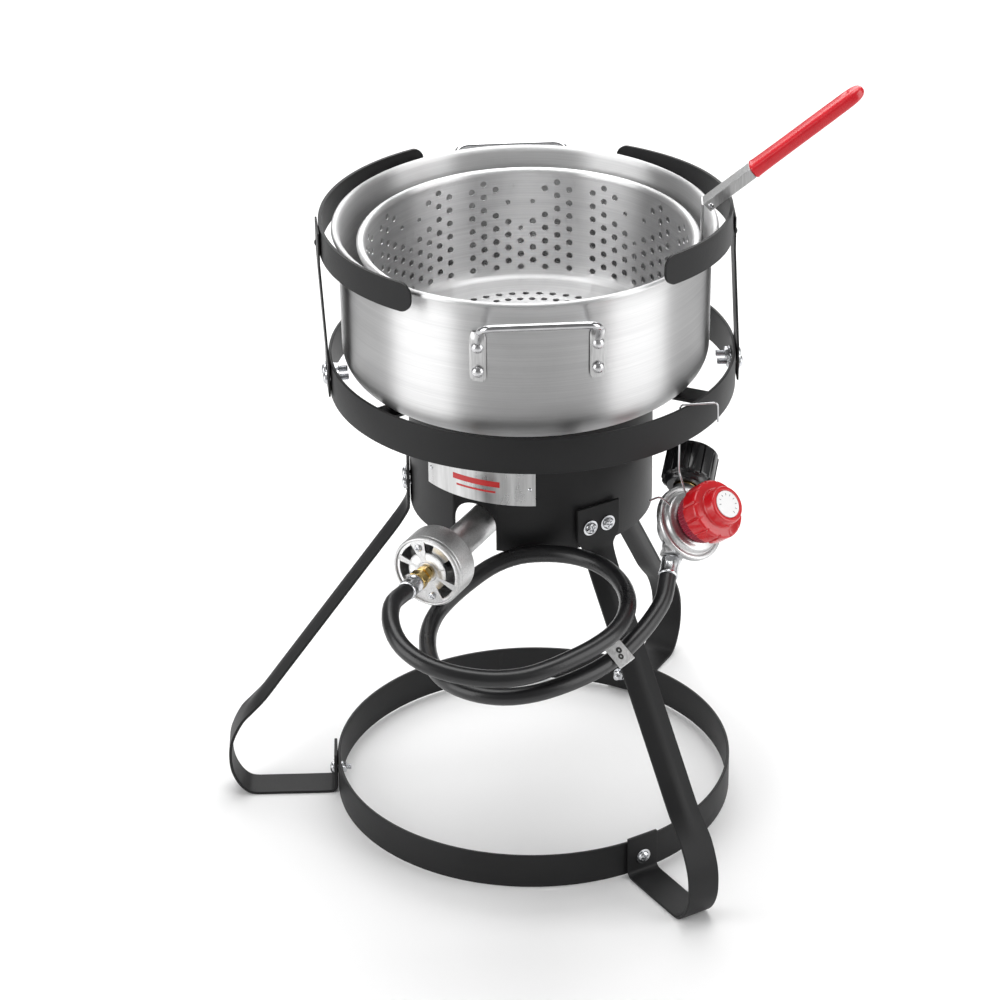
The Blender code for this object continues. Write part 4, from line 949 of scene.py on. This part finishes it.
def hose_tag():
    c, t = TAG_AT
    t = Vector(t).normalized()
    out = Vector((0.0, -0.8, 0.6))
    out = (out - t * out.dot(t)).normalized()
    side = t.cross(out)
    w, h, k = 0.0085, 0.01, 0.0004
    o = Vector(c) + out * (HOSE_R + 0.0009)
    verts = [o + t * a + side * b + out * (k * s) for s in (-1, 1) for a,
        b in ((-w, -h), (w, -h), (w, h), (-w, h))]
    faces = [(0, 1, 2, 3), (7, 6, 5, 4), (0, 4, 5, 1), (1, 5, 6, 2), (2, 6, 7, 3), (3, 7, 4, 0)]
    tag = place("tag_plate", (verts, faces), SHEETZ, "hose_tag", bevel=0.0003)
    m = Matrix((t, side, out)).transposed().to_4x4()
    m.translation = o + out * k
    ring = lambda x, y, r0, r1: turned([(r0, 0.0), (r1, 0.0), (r1, 0.0001), (r0, 0.0001)], 32,
        m @ Matrix.Translation((x, y, 0)))
    mark = place("tag_mark", joined(ring(-0.001, 0.0026, 0.0008, 0.0024),
        ring(0.0014, -0.0022, 0.0008, 0.0026)), INKBLK, sharp=60)
    return [tag, mark]


# ------------------------------------------------------------------ regulator
def regulator():
    m = to_frame(REG_D, REG_K, REG_A)
    prof = mm(0, -26, 12, -26, 16, -22, 17, -12, 26, -8, 29, -4.5, 30, -4, 30.5, -3, 30.5, 0.6, 30,
        1.6, 29, 2, 27.2, 2, 26.6, 1.4, 25.8, 1.4, 25.2, 2.4, 24.4, 4.4, 23.2, 5.2, 20, 5.8, 18,
        6.6, 15, 7, 12.5, 9, 12.5, 15, 0, 15)
    parts = [lathe(prof, 0.0006, 120, m)]
    b = REG_D - REG_K * 0.016
    mi = to_frame(b, REG_A)
    parts.append(lathe(mm(0, 4, 10, 4, 10, 30, 9.4, 31, 9.4, 38, 0, 38), 0.0005, 64, mi))
    mo = to_frame(b, -REG_A)
    parts.append(lathe(mm(0, 4, 9.8, 12, 9.6, 18, 8.5, 20, 8.5, 26.3, 0, 26.3), 0.0008, 64, mo))
    parts.append(loft([(0.0205, hexagon(0.017, 48, 0.97)), (0.021, hexagon(0.017, 48)),
        (0.0245, hexagon(0.017, 48)), (0.025, hexagon(0.017, 48, 0.97))], mo))
    place("regulator_casting", joined(*parts), HOUSING, "regulator_body", sharp=36)

    # crimp notches round the rim
    notches = []
    for k in range(36):
        a = radians(10 * k)
        fr = m @ Matrix.Translation((0.0302 * cos(a), 0.0302 * sin(a),
            -0.0011)) @ Matrix.Rotation(a, 4, "Z")
        notches.append(loft([(-0.0015, mm(-0.4, -0.7, 0.4, -0.7, 0.4, 0.7, -0.4, 0.7)),
            (0.0012, mm(-0.4, -0.7, 0.4, -0.7, 0.4, 0.7, -0.4, 0.7))], fr))
    place("rim_crimps", joined(*notches), HOUSING, sharp=60, bevel=0.0002)

    # knob: scalloped grip, step, raised cap with a dished top
    prof = mm(13.1, 20.5, 19, 20.5, 22.4, 20.7, 24, 21.6, 24, 34.8, 22.8, 36.4, 18, 37.4, 16.5,
        37.8, 15.8, 39, 15.2, 46.2, 14.2, 48, 11.6, 48, 11.2, 47.2, 0, 47.2, 0, 15.6, 13.1, 15.6)
    def grip(t, r, z):
        if r > 0.0215 and 0.021 < z < 0.0368:
            s = abs(((t * 12) % 1.0) - 0.5) * 2
            return 1.0 - 0.045 * max(0.0, 1 - s / 0.16) ** 0.5 if s < 0.16 else 1.0
        return 1.0
    place("knob_cap", lathe(prof, 0.0009, 240, m, steps=3, wave=grip), RED, "regulator_knob",
        body="knob", sharp=48)

    def ribs(t, r, z):
        return 1.0 - (0.035 if (t * 48) % 1.0 < 0.45 else 0.0) if r > 0.017 else 1.0
    prof = mm(12.8, 9.2, 19.2, 9.2, 20, 10, 20.5, 20, 12.8, 20)
    place("knob_skirt", lathe(prof, 0.0004, 192, m, wave=ribs), SKIRT, body="knob", sharp=40)
    place("knob_disc", lathe(mm(0, 47.3, 11, 47.3, 11, 48, 10.5, 48.3, 0, 48.3), 0.0002, 64, m),
        LABEL, "knob_label", body="knob", sharp=40)
    # an arc of plain ticks on the disc
    ticks = []
    for k in range(9):
        a = radians(-120 + 30 * k)
        fr = m @ Matrix.Translation((0, 0, 0.0483)) @ Matrix.Rotation(a, 4, "Z")
        ticks.append(loft([(0.0, mm(7, -0.22, 8.8, -0.22, 8.8, 0.22, 7, 0.22)),
            (0.00006, mm(7, -0.22, 8.8, -0.22, 8.8, 0.22, 7, 0.22))], fr))
    place("disc_ticks", joined(*ticks), INKBLK, body="knob", sharp=60)

    # black coupling nut with broad ribs, open at the valve end
    prof = mm(10.4, 39, 15.8, 39, 17, 41, 18, 43, 20.5, 43.8, 21.2, 45, 21.2, 70, 20, 71.2, 17.5,
        71.2, 16.5, 70, 16.5, 48, 10.4, 48)
    def flutes(t, r, z):
        if r > 0.0192 and 0.0436 < z < 0.0708:
            s = (t * 12) % 1.0
            edge = min(s, 1 - s)
            return 1.0 - 0.075 * min(1.0, max(0.0, (0.24 - edge) / 0.05))
        return 1.0
    v, f = lathe(prof, 0.0007, 288, mi, steps=3, wave=flutes)
    thread = []
    for k in range(9):
        z = 0.05 + 0.0021 * k
        thread.append(turned([(0.0166, z), (0.0156, z + 0.0007), (0.0156, z + 0.001),
            (0.0166, z + 0.0017)], 64, mi))
    place("nut_shell", joined((v, f), *thread), NUTBLK, "coupling_nut", body="nut", sharp=40)
    prof = mm(0, 38.3, 8.6, 38.3, 8.6, 52, 6, 56, 4.8, 67, 4.2, 68, 1.8, 68, 1.8, 64, 0, 64)
    place("nipple_turning", lathe(prof, 0.0004, 48, mi), BRASS, "inlet_nipple", sharp=40)
    return b


def hanger():
    low = Vector((0.1152, -0.11, 0.355))
    e = (low - REG_D) - REG_K * (low - REG_D).dot(REG_K)
    e.normalize()
    neck = REG_D + REG_K * 0.01 + e * 0.014
    p = [neck, low, (0.1157, -0.11, 0.4127), (0.145, -0.1065, 0.4127), (0.1455, -0.1065, 0.396)]
    v, f = wire_mesh(fillet(p, 0.0035, 8), 0.0008, 14)
    # the wire's other end, turned up beside the disc
    side = (REG_K.cross(e)).normalized()
    q = [REG_D + REG_K * 0.004 + e * 0.02 - side * 0.012,
        REG_D + REG_K * 0.004 + e * 0.031 - side * 0.0165,
        REG_D + REG_K * 0.004 + e * 0.033 - side * 0.029]
    alt = [REG_D + REG_K * 0.004 + e * 0.02 + side * 0.012,
        REG_D + REG_K * 0.004 + e * 0.031 + side * 0.0165,
        REG_D + REG_K * 0.004 + e * 0.033 + side * 0.029]
    left = q if (q[2].x < alt[2].x) else alt
    place("hook_wire", joined((v, f), wire_mesh(fillet(left, 0.004, 8), 0.0008, 14)), CHROME,
        "hanger_wire", sharp=60)


# ------------------------------------------------------------------ pot
def pot():
    z0, z1, r, t, c = POT_Z0, POT_Z1, POT_R, POT_T, POT_CORNER
    out = []
    for i in range(15):
        a = pi / 2 * i / 14
        out.append((r - 0.001 - c + c * sin(a), z0 + c - c * cos(a)))
    for i in range(1, 12):
        s = i / 12
        out.append((r - 0.001 + 0.001 * s, z0 + c + (z1 - 0.0062 - z0 - c) * s))
    out.append((r, z1 - 0.0062))
    rim = [(r + 0.0006, z1 - 0.0054), (POT_RIM_R - 0.002, z1 - 0.005),
        (POT_RIM_R - 0.0006, z1 - 0.0042), (POT_RIM_R, z1 - 0.0025),
        (POT_RIM_R - 0.0006, z1 - 0.0008), (POT_RIM_R - 0.002, z1), (r + 0.0016, z1 - 0.0002),
        (r - 0.0002, z1 - 0.0016), (r - t, z1 - 0.005)]
    inn = []
    ci = c - t
    for i in range(15):
        a = pi / 2 * (14 - i) / 14
        inn.append((r - 0.001 - c + ci * sin(a), z0 + c - ci * cos(a)))
    floor_out = [(0.118 * k / 5, z0) for k in range(5)]
    floor_in = [(0.118 * k / 5, z0 + t) for k in (4, 3, 2, 1, 0)]
    place("pot_shell", turned(floor_out + out + rim + inn + floor_in, 192), POT_ALU, "fry_pot",
        body="pot", sharp=50)


def pot_handles():
    for nm, az in HANDLE_AZ.items():
        m = turn_z(az)
        h = HANDLE_HALF
        wall = sqrt(POT_R ** 2 - h ** 2)
        x1 = POT_R + HANDLE_OUT
        p = [(wall + 0.0085, -h, BRACKET_Z1 - 0.004), (x1, -h, HANDLE_Z), (x1, h, HANDLE_Z),
            (wall + 0.0085, h, BRACKET_Z1 - 0.004)]
        place("bail_" + nm, wire_mesh([m @ q for q in fillet(p, 0.012, 14)], HANDLE_WIRE, 24),
            CHROME, "pot_handle_" + nm, body="pot", sharp=60)
        for k, sgn in enumerate((-1, 1)):
            bracket("bracket_%s_%d" % (nm, k + 1), az + degrees(asin(sgn * h / POT_R)))


def bracket(name, az):
    """Pressed strap with rounded ends, bulged at the top over the wire, two domed rivets."""
    o = POT_R + 0.0003
    m = to_frame(polar(o, az, (BRACKET_Z0 + BRACKET_Z1) / 2), polar(1, az), (0, 0, 1))
    L, hw = (BRACKET_Z1 - BRACKET_Z0) / 2, 0.0066
    nu, nv = 40, 14
    verts, faces = [], []
    def width(u):
        end = 0.005
        d = min(u + L, L - u)
        return hw if d > end else hw * sqrt(max(0.02, 1 - ((end - d) / end) ** 2) * 0.55 + 0.45)
    def lift(u, s):
        top = exp(-((u - (L - 0.0062)) / 0.0048) ** 2)
        return 0.0009 + 0.0021 * top * cos(s * pi / 2) ** 0.8 + 0.0003 * cos(s * pi / 2)
    for layer in (0, 1):
        for i in range(nu + 1):
            u = -L + 2 * L * i / nu
            for k in range(nv + 1):
                s = -1 + 2 * k / nv
                z = lift(u, s) if layer else 0.0
                verts.append(m @ Vector((u, s * width(u),
                    z - (0.0 if abs(s) < 0.99 else 0.0004) * layer)))
    row, lay = nv + 1, (nu + 1) * (nv + 1)
    for i in range(nu):
        for k in range(nv):
            a = i * row + k
            faces.append((a, a + 1, a + row + 1, a + row))
            faces.append((lay + a, lay + a + row, lay + a + row + 1, lay + a + 1))
    edge = [k for k in range(nv + 1)] + [i * row + nv for i in range(1,
        nu + 1)] + [nu * row + k for k in range(nv - 1, -1, -1)] \
        + [i * row for i in range(nu - 1, 0, -1)]
    for q, w in zip(edge, edge[1:] + edge[:1]):
        faces.append((q, w, lay + w, lay + q))
    place(name + "_strap", (verts, faces), STRAP_ALU, name, body="pot", sharp=40)
    domes = []
    for zz in (-0.0122, 0.0082):
        fr = m @ Matrix.Translation((zz, 0, 0.0008))
        prof = [(0.0, 0.0048)] + [(0.0049 * sin(a),
            0.0008 + 0.004 * cos(a)) for a in [pi / 2 * i / 9 for i in range(1, 10)]]
        domes.append(turned(prof + [(0.0049, 0.0), (0.0, 0.0)], 36, fr))
    place(name + "_rivets", joined(*domes), RIVET_ALU, body="pot", sharp=50)


# ------------------------------------------------------------------ basket
def bridge(outer, inner, centre):
    """Triangles between two rings of (index, x, y) about a centre, walked by angle."""
    ang = lambda q: atan2(q[2] - centre[1], q[1] - centre[0])
    a, b = sorted(outer, key=ang), sorted(inner, key=ang)
    out, i, j = [], 0, 0
    na, nb = len(a), len(b)
    while i < na or j < nb:
        na2 = ang(a[(i + 1) % na]) + 2 * pi * ((i + 1) // na)
        nb2 = ang(b[(j + 1) % nb]) + 2 * pi * ((j + 1) // nb)
        if j >= nb or (i < na and na2 <= nb2):
            out.append((a[i % na][0], a[(i + 1) % na][0], b[j % nb][0]))
            i += 1
        else:
            out.append((a[i % na][0], b[(j + 1) % nb][0], b[j % nb][0]))
            j += 1
    return out


HALF_ROW = 0.005864
HOLE_Z = 0.49646
BASKET_C_R, WALL_R = 0.009, 0.13               # corner radius, and the wall's radius for spacing
FLOOR_ROWS = (0.1008, 0.0902, 0.0796, 0.0692, 0.0588, 0.048, 0.0372, 0.0262, 0.014)
BIG, SMALL = 0.0027, 0.002
# columns of holes, degrees apart; middle of one group
COLS, COL_STEP, GROUP_AZ = 80, 4.5, 92.9
HOLE_SIDES, FLOOR_STEPS, STEPS_PER_DEG = 18, 108, 0.3
COLUMNS = {1: [(i, BIG) for i in range(1, 14, 2)], 2: [(i, BIG) for i in range(0, 13, 2)],
    3: [(1, BIG)] + [(i, BIG) for i in range(5, 14, 2)],
    4: [(3, SMALL)] + [(i, BIG) for i in range(6, 13, 2)],
    5: [(7, SMALL)] + [(i, BIG) for i in range(9, 14, 2)]}
for c in range(6, 10):
    COLUMNS[c] = COLUMNS[10 - c]
COLUMNS[10] = []


def basket():
    verts, faces, index = [], [], {}
    turn0 = GROUP_AZ - COL_STEP * 4

    def wall_point(col, i):
        z = HOLE_Z - i * HALF_ROW
        dip = BASKET_Z0 + BASKET_C_R - z
        if dip > 0:
            return polar(BASKET_BOT_R - BASKET_C_R + sqrt(BASKET_C_R ** 2 - dip ** 2),
                turn0 + COL_STEP * col, z)
        f = (z - (BASKET_Z0 + BASKET_C_R)) / (BASKET_Z1 - 0.005 - BASKET_Z0 - BASKET_C_R)
        return polar(BASKET_BOT_R + (BASKET_TOP_R - BASKET_BOT_R) * f, turn0 + COL_STEP * col, z)

    def vid(key, point):
        if key not in index:
            index[key] = len(verts)
            verts.append(point)
        return index[key]

    def wv(col2, i):
        """Grid vertex: col2 counts half columns."""
        col2 %= 2 * COLS
        return vid(("w", col2, i), wall_point(col2 / 2, i))

    lo, hi = -1, 14
    pitch = 2 * pi * WALL_R / COLS
    for col in range(COLS):
        holes = dict(COLUMNS[(col % 10) + 1 if col % 10 < 9 else 10])
        i = lo
        while i < hi:
            if i + 1 in holes:
                c, r = i + 1, holes[i + 1]
                ids = [(wv(2 * col + a, i2), a / 2 * pitch, (i2 - c) * HALF_ROW) for a,
                    i2 in ((-1, c - 1), (0, c - 1), (1, c - 1), (1, c), (1, c + 1), (0, c + 1),
                    (-1, c + 1), (-1, c))]
                ring = []
                for k in range(HOLE_SIDES):
                    t = 2 * pi * (k + 0.5) / HOLE_SIDES
                    x, y = r * cos(t), r * sin(t)
                    ring.append((vid(("h", col, c, k), wall_point(col + x / pitch,
                        c + y / HALF_ROW)), x, y))
                faces += bridge(ids, ring, (0, 0))
                i += 2
            else:
                for a in (-1, 0):
                    faces.append((wv(2 * col + a, i), wv(2 * col + a + 1, i),
                        wv(2 * col + a + 1, i + 1), wv(2 * col + a, i + 1)))
                i += 1

    def ring_of(tag, r, z):
        return [vid((tag, k), polar(r, turn0 + COL_STEP / 2 * k, z)) for k in range(2 * COLS)]

    def strip_between(a, b):
        n = len(a)
        for k in range(n):
            faces.append((a[k], a[(k + 1) % n], b[(k + 1) % n], b[k]))

    # rolled rim
    prev = [wv(k, lo) for k in range(2 * COLS)]
    zt, rt = BASKET_Z1, BASKET_TOP_R
    for n, (dr, dz) in enumerate(((-0.0001, -0.0036), (0.0002, -0.0016), (0.001, -0.0004),
            (0.0022, 0.0), (0.0034, -0.0005), (0.0043, -0.0018), (0.0041, -0.0034),
            (0.003, -0.0044))):
        ring = ring_of("rim%d" % n, rt + dr, zt + dz)
        strip_between(prev, ring)
        prev = ring
    # rounded corner into the floor
    prev = [wv(k, hi) for k in range(2 * COLS)]
    start = acos((BASKET_Z0 + BASKET_C_R - (HOLE_Z - hi * HALF_ROW)) / BASKET_C_R)
    for n in range(1, 9):
        a = start * (8 - n) / 8
        ring = ring_of("c%d" % n, BASKET_BOT_R - BASKET_C_R + BASKET_C_R * sin(a),
            BASKET_Z0 + BASKET_C_R - BASKET_C_R * cos(a))
        strip_between(prev, ring)
        prev = ring
    # floor: rings of holes, staggered
    fz = BASKET_Z0

    def fv(r, k):
        k %= FLOOR_STEPS
        return vid(("f", round(r, 5), k), polar(r, turn0 + k / STEPS_PER_DEG, fz))

    outer = [(q, verts[q].x, verts[q].y) for q in prev]
    first = [fv(FLOOR_ROWS[0], k) for k in range(FLOOR_STEPS)]
    faces += bridge(outer, [(q, verts[q].x, verts[q].y) for q in first], (0, 0))
    for n, (span, shift) in enumerate(((2, 0), (2, 1), (2, 0), (2, 1), (4, 0), (4, 2), (6, 0),
            (12, 3))):
        r1, r0 = FLOOR_ROWS[n], FLOOR_ROWS[n + 1]
        rc = (r0 + r1) / 2
        for k in range(shift, FLOOR_STEPS + shift, span):
            cpt = polar(rc, turn0 + (k + span / 2) / STEPS_PER_DEG, fz)
            ids = [(fv(r, k + j), verts[fv(r, k + j)].x, verts[fv(r, k + j)].y) for r in (r1,
                r0) for j in range(span + 1)]
            ring = []
            for j in range(HOLE_SIDES):
                t = 2 * pi * (j + 0.5) / HOLE_SIDES
                p = cpt + Vector((BIG * cos(t), BIG * sin(t), 0))
                ring.append((vid(("fh", n, k, j), p), p.x, p.y))
            faces += bridge(ids, ring, (cpt.x, cpt.y))
    centre = vid("centre", Vector((0, 0, fz)))
    for k in range(FLOOR_STEPS):
        faces.append((fv(FLOOR_ROWS[-1], k), fv(FLOOR_ROWS[-1], k + 1), centre))
    ob = place("basket_shell", (verts, faces), BASKET_ALU, "strainer_basket", body="basket",
        sharp=70)
    # the sheet's outside faces out, so thickness goes inwards
    bm = bmesh.new()
    bm.from_mesh(ob.data)
    bm.faces.ensure_lookup_table()
    bottom = min(bm.faces, key=lambda q: (q.calc_center_median() - Vector((BASKET_C.x, BASKET_C.y,
        fz))).length)
    if bottom.normal.z > 0:
        bmesh.ops.reverse_faces(bm, faces=bm.faces)
    rims = {tuple(sorted(v.index for v in e.verts)) for e in bm.edges if len(e.link_faces) == 1}
    bm.to_mesh(ob.data)
    bm.free()
    for e in ob.data.edges:
        e.use_edge_sharp = e.use_edge_sharp or e.key in rims
    s = ob.modifiers.new("sheet", "SOLIDIFY")
    s.thickness, s.offset = BASKET_T, -1.0
    s.use_even_offset = False
    for i, az in enumerate(FOOT_AZ):
        low, top = POT_Z0 + POT_T + 0.0004, BASKET_Z0 - 0.0001
        prof = round_profile([(0.0, low), (FOOT_R, low), (FOOT_R, top), (0.0, top)], 0.0012, 3)
        place("floor_stud_%d" % (i + 1), turned(prof, 32, Matrix.Translation(polar(FOOT_AT, az))),
            RIVET_ALU, "basket_foot_%d" % (i + 1), body="basket", sharp=50)
    return ob


def basket_handle():
    xw = BASKET_RIM_R + 0.0001
    path = [(xw + 0.001, 0.466 + 0.07 * k / 10) for k in range(11)]
    place("strap_sheet", bar(path, [0.015] * 11, 0.0018, Matrix()), STRAP_ALU, "basket_strap",
        body="basket", bevel=0.0004)
    a = radians(CHANNEL_PITCH)
    u, w = Vector((cos(a), 0, sin(a))), Vector((-sin(a), 0, cos(a)))
    base = Vector((PIN_X, 0, PIN_Z))
    m = Matrix(((u.x, 0, w.x, base.x), (u.y, 1, w.y, base.y), (u.z, 0, w.z, base.z), (0, 0, 0, 1)))
    wd, dp, t = 0.0072, 0.0045, 0.0014
    sec = [(-wd, -dp), (-wd + t, -dp), (-wd + t, dp - t), (wd - t, dp - t), (wd - t, -dp),
        (wd, -dp), (wd, dp), (-wd, dp)]
    rows = 10
    verts = [m @ Vector((CHANNEL_LEN * i / rows, y, z)) for i in range(rows + 1) for y, z in sec]
    faces = skin(rows + 1, len(sec))
    place("channel_sheet", (verts, faces), STRAP_ALU, "handle_channel", body="basket", bevel=0.0009,
        segs=3)
    # rivet through the channel near the basket, one each side of the rim strap
    parts = []
    for side in (-1, 1):
        fr = to_frame(m @ Vector((0.0036, side * wd, -0.0004)), (0, side, 0))
        parts.append(turned(mm(0, 1.4, 1.2, 1.2, 2.2, 0.6, 2.4, -0.2, 0, -0.2), 24, fr))
    for z in (0.474, 0.49):
        fr = to_frame((xw + 0.0019, 0, z), (1, 0, 0))
        parts.append(turned(mm(0, 1.6, 1.4, 1.4, 2.8, 0.6, 3.1, -0.2, 0, -0.2), 24, fr))
    place("handle_rivets", joined(*parts), RIVET_ALU, body="basket", sharp=50)
    # dipped grip: hem ridge at its mouth, flat hanging end with a small dimple
    prof = [(0.0, 0.0079, 0.0057), (0.0006, 0.0084, 0.006), (0.002, 0.0086, 0.0061),
        (0.004, 0.0085, 0.0058), (0.02, 0.0084, 0.0056), (0.04, 0.0084, 0.0055),
        (0.06, 0.0084, 0.0055), (GRIP_LEN - 0.026, 0.0083, 0.0054),
        (GRIP_LEN - 0.014, 0.0082, 0.0053), (GRIP_LEN - 0.009, 0.0076, 0.0051),
        (GRIP_LEN - 0.006, 0.0068, 0.0048), (GRIP_LEN - 0.003, 0.0052, 0.0041),
        (GRIP_LEN - 0.0012, 0.0034, 0.003), (GRIP_LEN, 0.0012, 0.0012)]
    prof = smooth_values(prof, 4)
    verts, k = [], 48
    for x, ry, rz in prof:
        for i in range(k):
            q = 2 * pi * i / k
            cy, sz = cos(q), sin(q)
            yy = ry * copysign(abs(cy) ** 0.55, cy)
            zz = rz * copysign(abs(sz) ** 0.55, sz)
            d = hypot(x - (GRIP_LEN - 0.0125), yy)
            if zz > 0:
                zz -= 0.0011 * exp(-(d / 0.0017) ** 2)
            verts.append(m @ Vector((CHANNEL_LEN + GAP + x, yy, zz)))
    faces = skin(len(prof), k)
    place("grip_dip", (verts, faces), VINYL, "handle_grip", body="basket", sharp=60)


# ------------------------------------------------------------------ studio
def studio():
    me = bpy.data.meshes.new("floor")
    s = 9.0
    me.from_pydata([(-s, -s, 0), (s, -s, 0), (s, s, 0), (-s, s, 0)], [], [(0, 1, 2, 3)])
    fl = bpy.data.objects.new("floor", me)
    bpy.context.scene.collection.objects.link(fl)
    m = Nodes("pale_floor", (0.9, 0.9, 0.9), 0.0, 0.8)
    m.set("Base Color", m.mix(m.remap(m.noise(2.0, 2), 0.3, 0.7, 0, 1), (0.93, 0.93, 0.93),
        (0.95, 0.95, 0.95)))
    m.set("Specular IOR Level", 0.1)
    me.materials.append(m.m)

    def area(name, at, to, size, power, size_y=None):
        li = bpy.data.lights.new(name, "AREA")
        li.energy, li.shape = power, "RECTANGLE"
        li.size, li.size_y = size, size_y or size
        ob = bpy.data.objects.new(name, li)
        ob.location = at
        ob.rotation_euler = (Vector(to) - Vector(at)).to_track_quat("-Z", "Y").to_euler()
        bpy.context.scene.collection.objects.link(ob)

    area("panel_left", (-1.95, -1.05, 0.95), (0, 0, 0.45), 1.7, 31, 1.9)
    area("panel_right", (2.0, -0.8, 0.95), (0, 0, 0.45), 1.6, 27, 1.9)
    area("top", (0.0, 0.45, 2.1), (0, 0.15, 0.3), 1.7, 36)
    area("rear_floor", (0.0, 2.2, 1.5), (0, 1.4, 0.0), 2.4, 26, 1.2)
    w = bpy.data.worlds.new("studio")
    bpy.context.scene.world = w
    w.use_nodes = True
    bg = w.node_tree.nodes["Background"]
    bg.inputs[0].default_value = (1, 1, 1, 1)
    bg.inputs[1].default_value = 0.27
    bpy.context.scene.view_settings.view_transform = "Standard"


def camera():
    right = Vector((0.999935, 0.003328, -0.010879))
    up = Vector((0.007962, 0.478369, 0.878123))
    forward = Vector((-0.008127, 0.878153, -0.478311))
    cam = bpy.data.cameras.new("view")
    cam.sensor_width, cam.lens, cam.clip_end = 36.0, 138.8816, 60.0
    ob = bpy.data.objects.new("view", cam)
    m = Matrix((right, up, -forward)).transposed().to_4x4()
    m.translation = Vector((0.0, -2.767388, 1.777676)) + AXIS
    ob.matrix_world = m
    bpy.context.scene.collection.objects.link(ob)
    bpy.context.scene.camera = ob


camera()
tube, tube_exit, tube_length = hose()
tag = hose_tag()
hoop("bottom_ring", BOTTOM_RING_Z)
hoop("top_ring", TOP_RING_Z, TOP_R, TOP_AT)
shroud()
support_bars()
legs()
uprights()
nameplate()
burner()
face_plate()
air_shutter()
orifice()
ferrule("ferrule_burner", polar(BELL_FACE + ORIFICE_LEN + GAP, VENT_AZ, VENT_Z), polar(1, VENT_AZ),
    FERRULE_LEN)
reg_b = regulator()
ferrule("ferrule_regulator", reg_b - REG_A * 0.0267, -REG_A, 0.0169)
hanger()
pot()
pot_handles()
basket()
basket_handle()
studio()
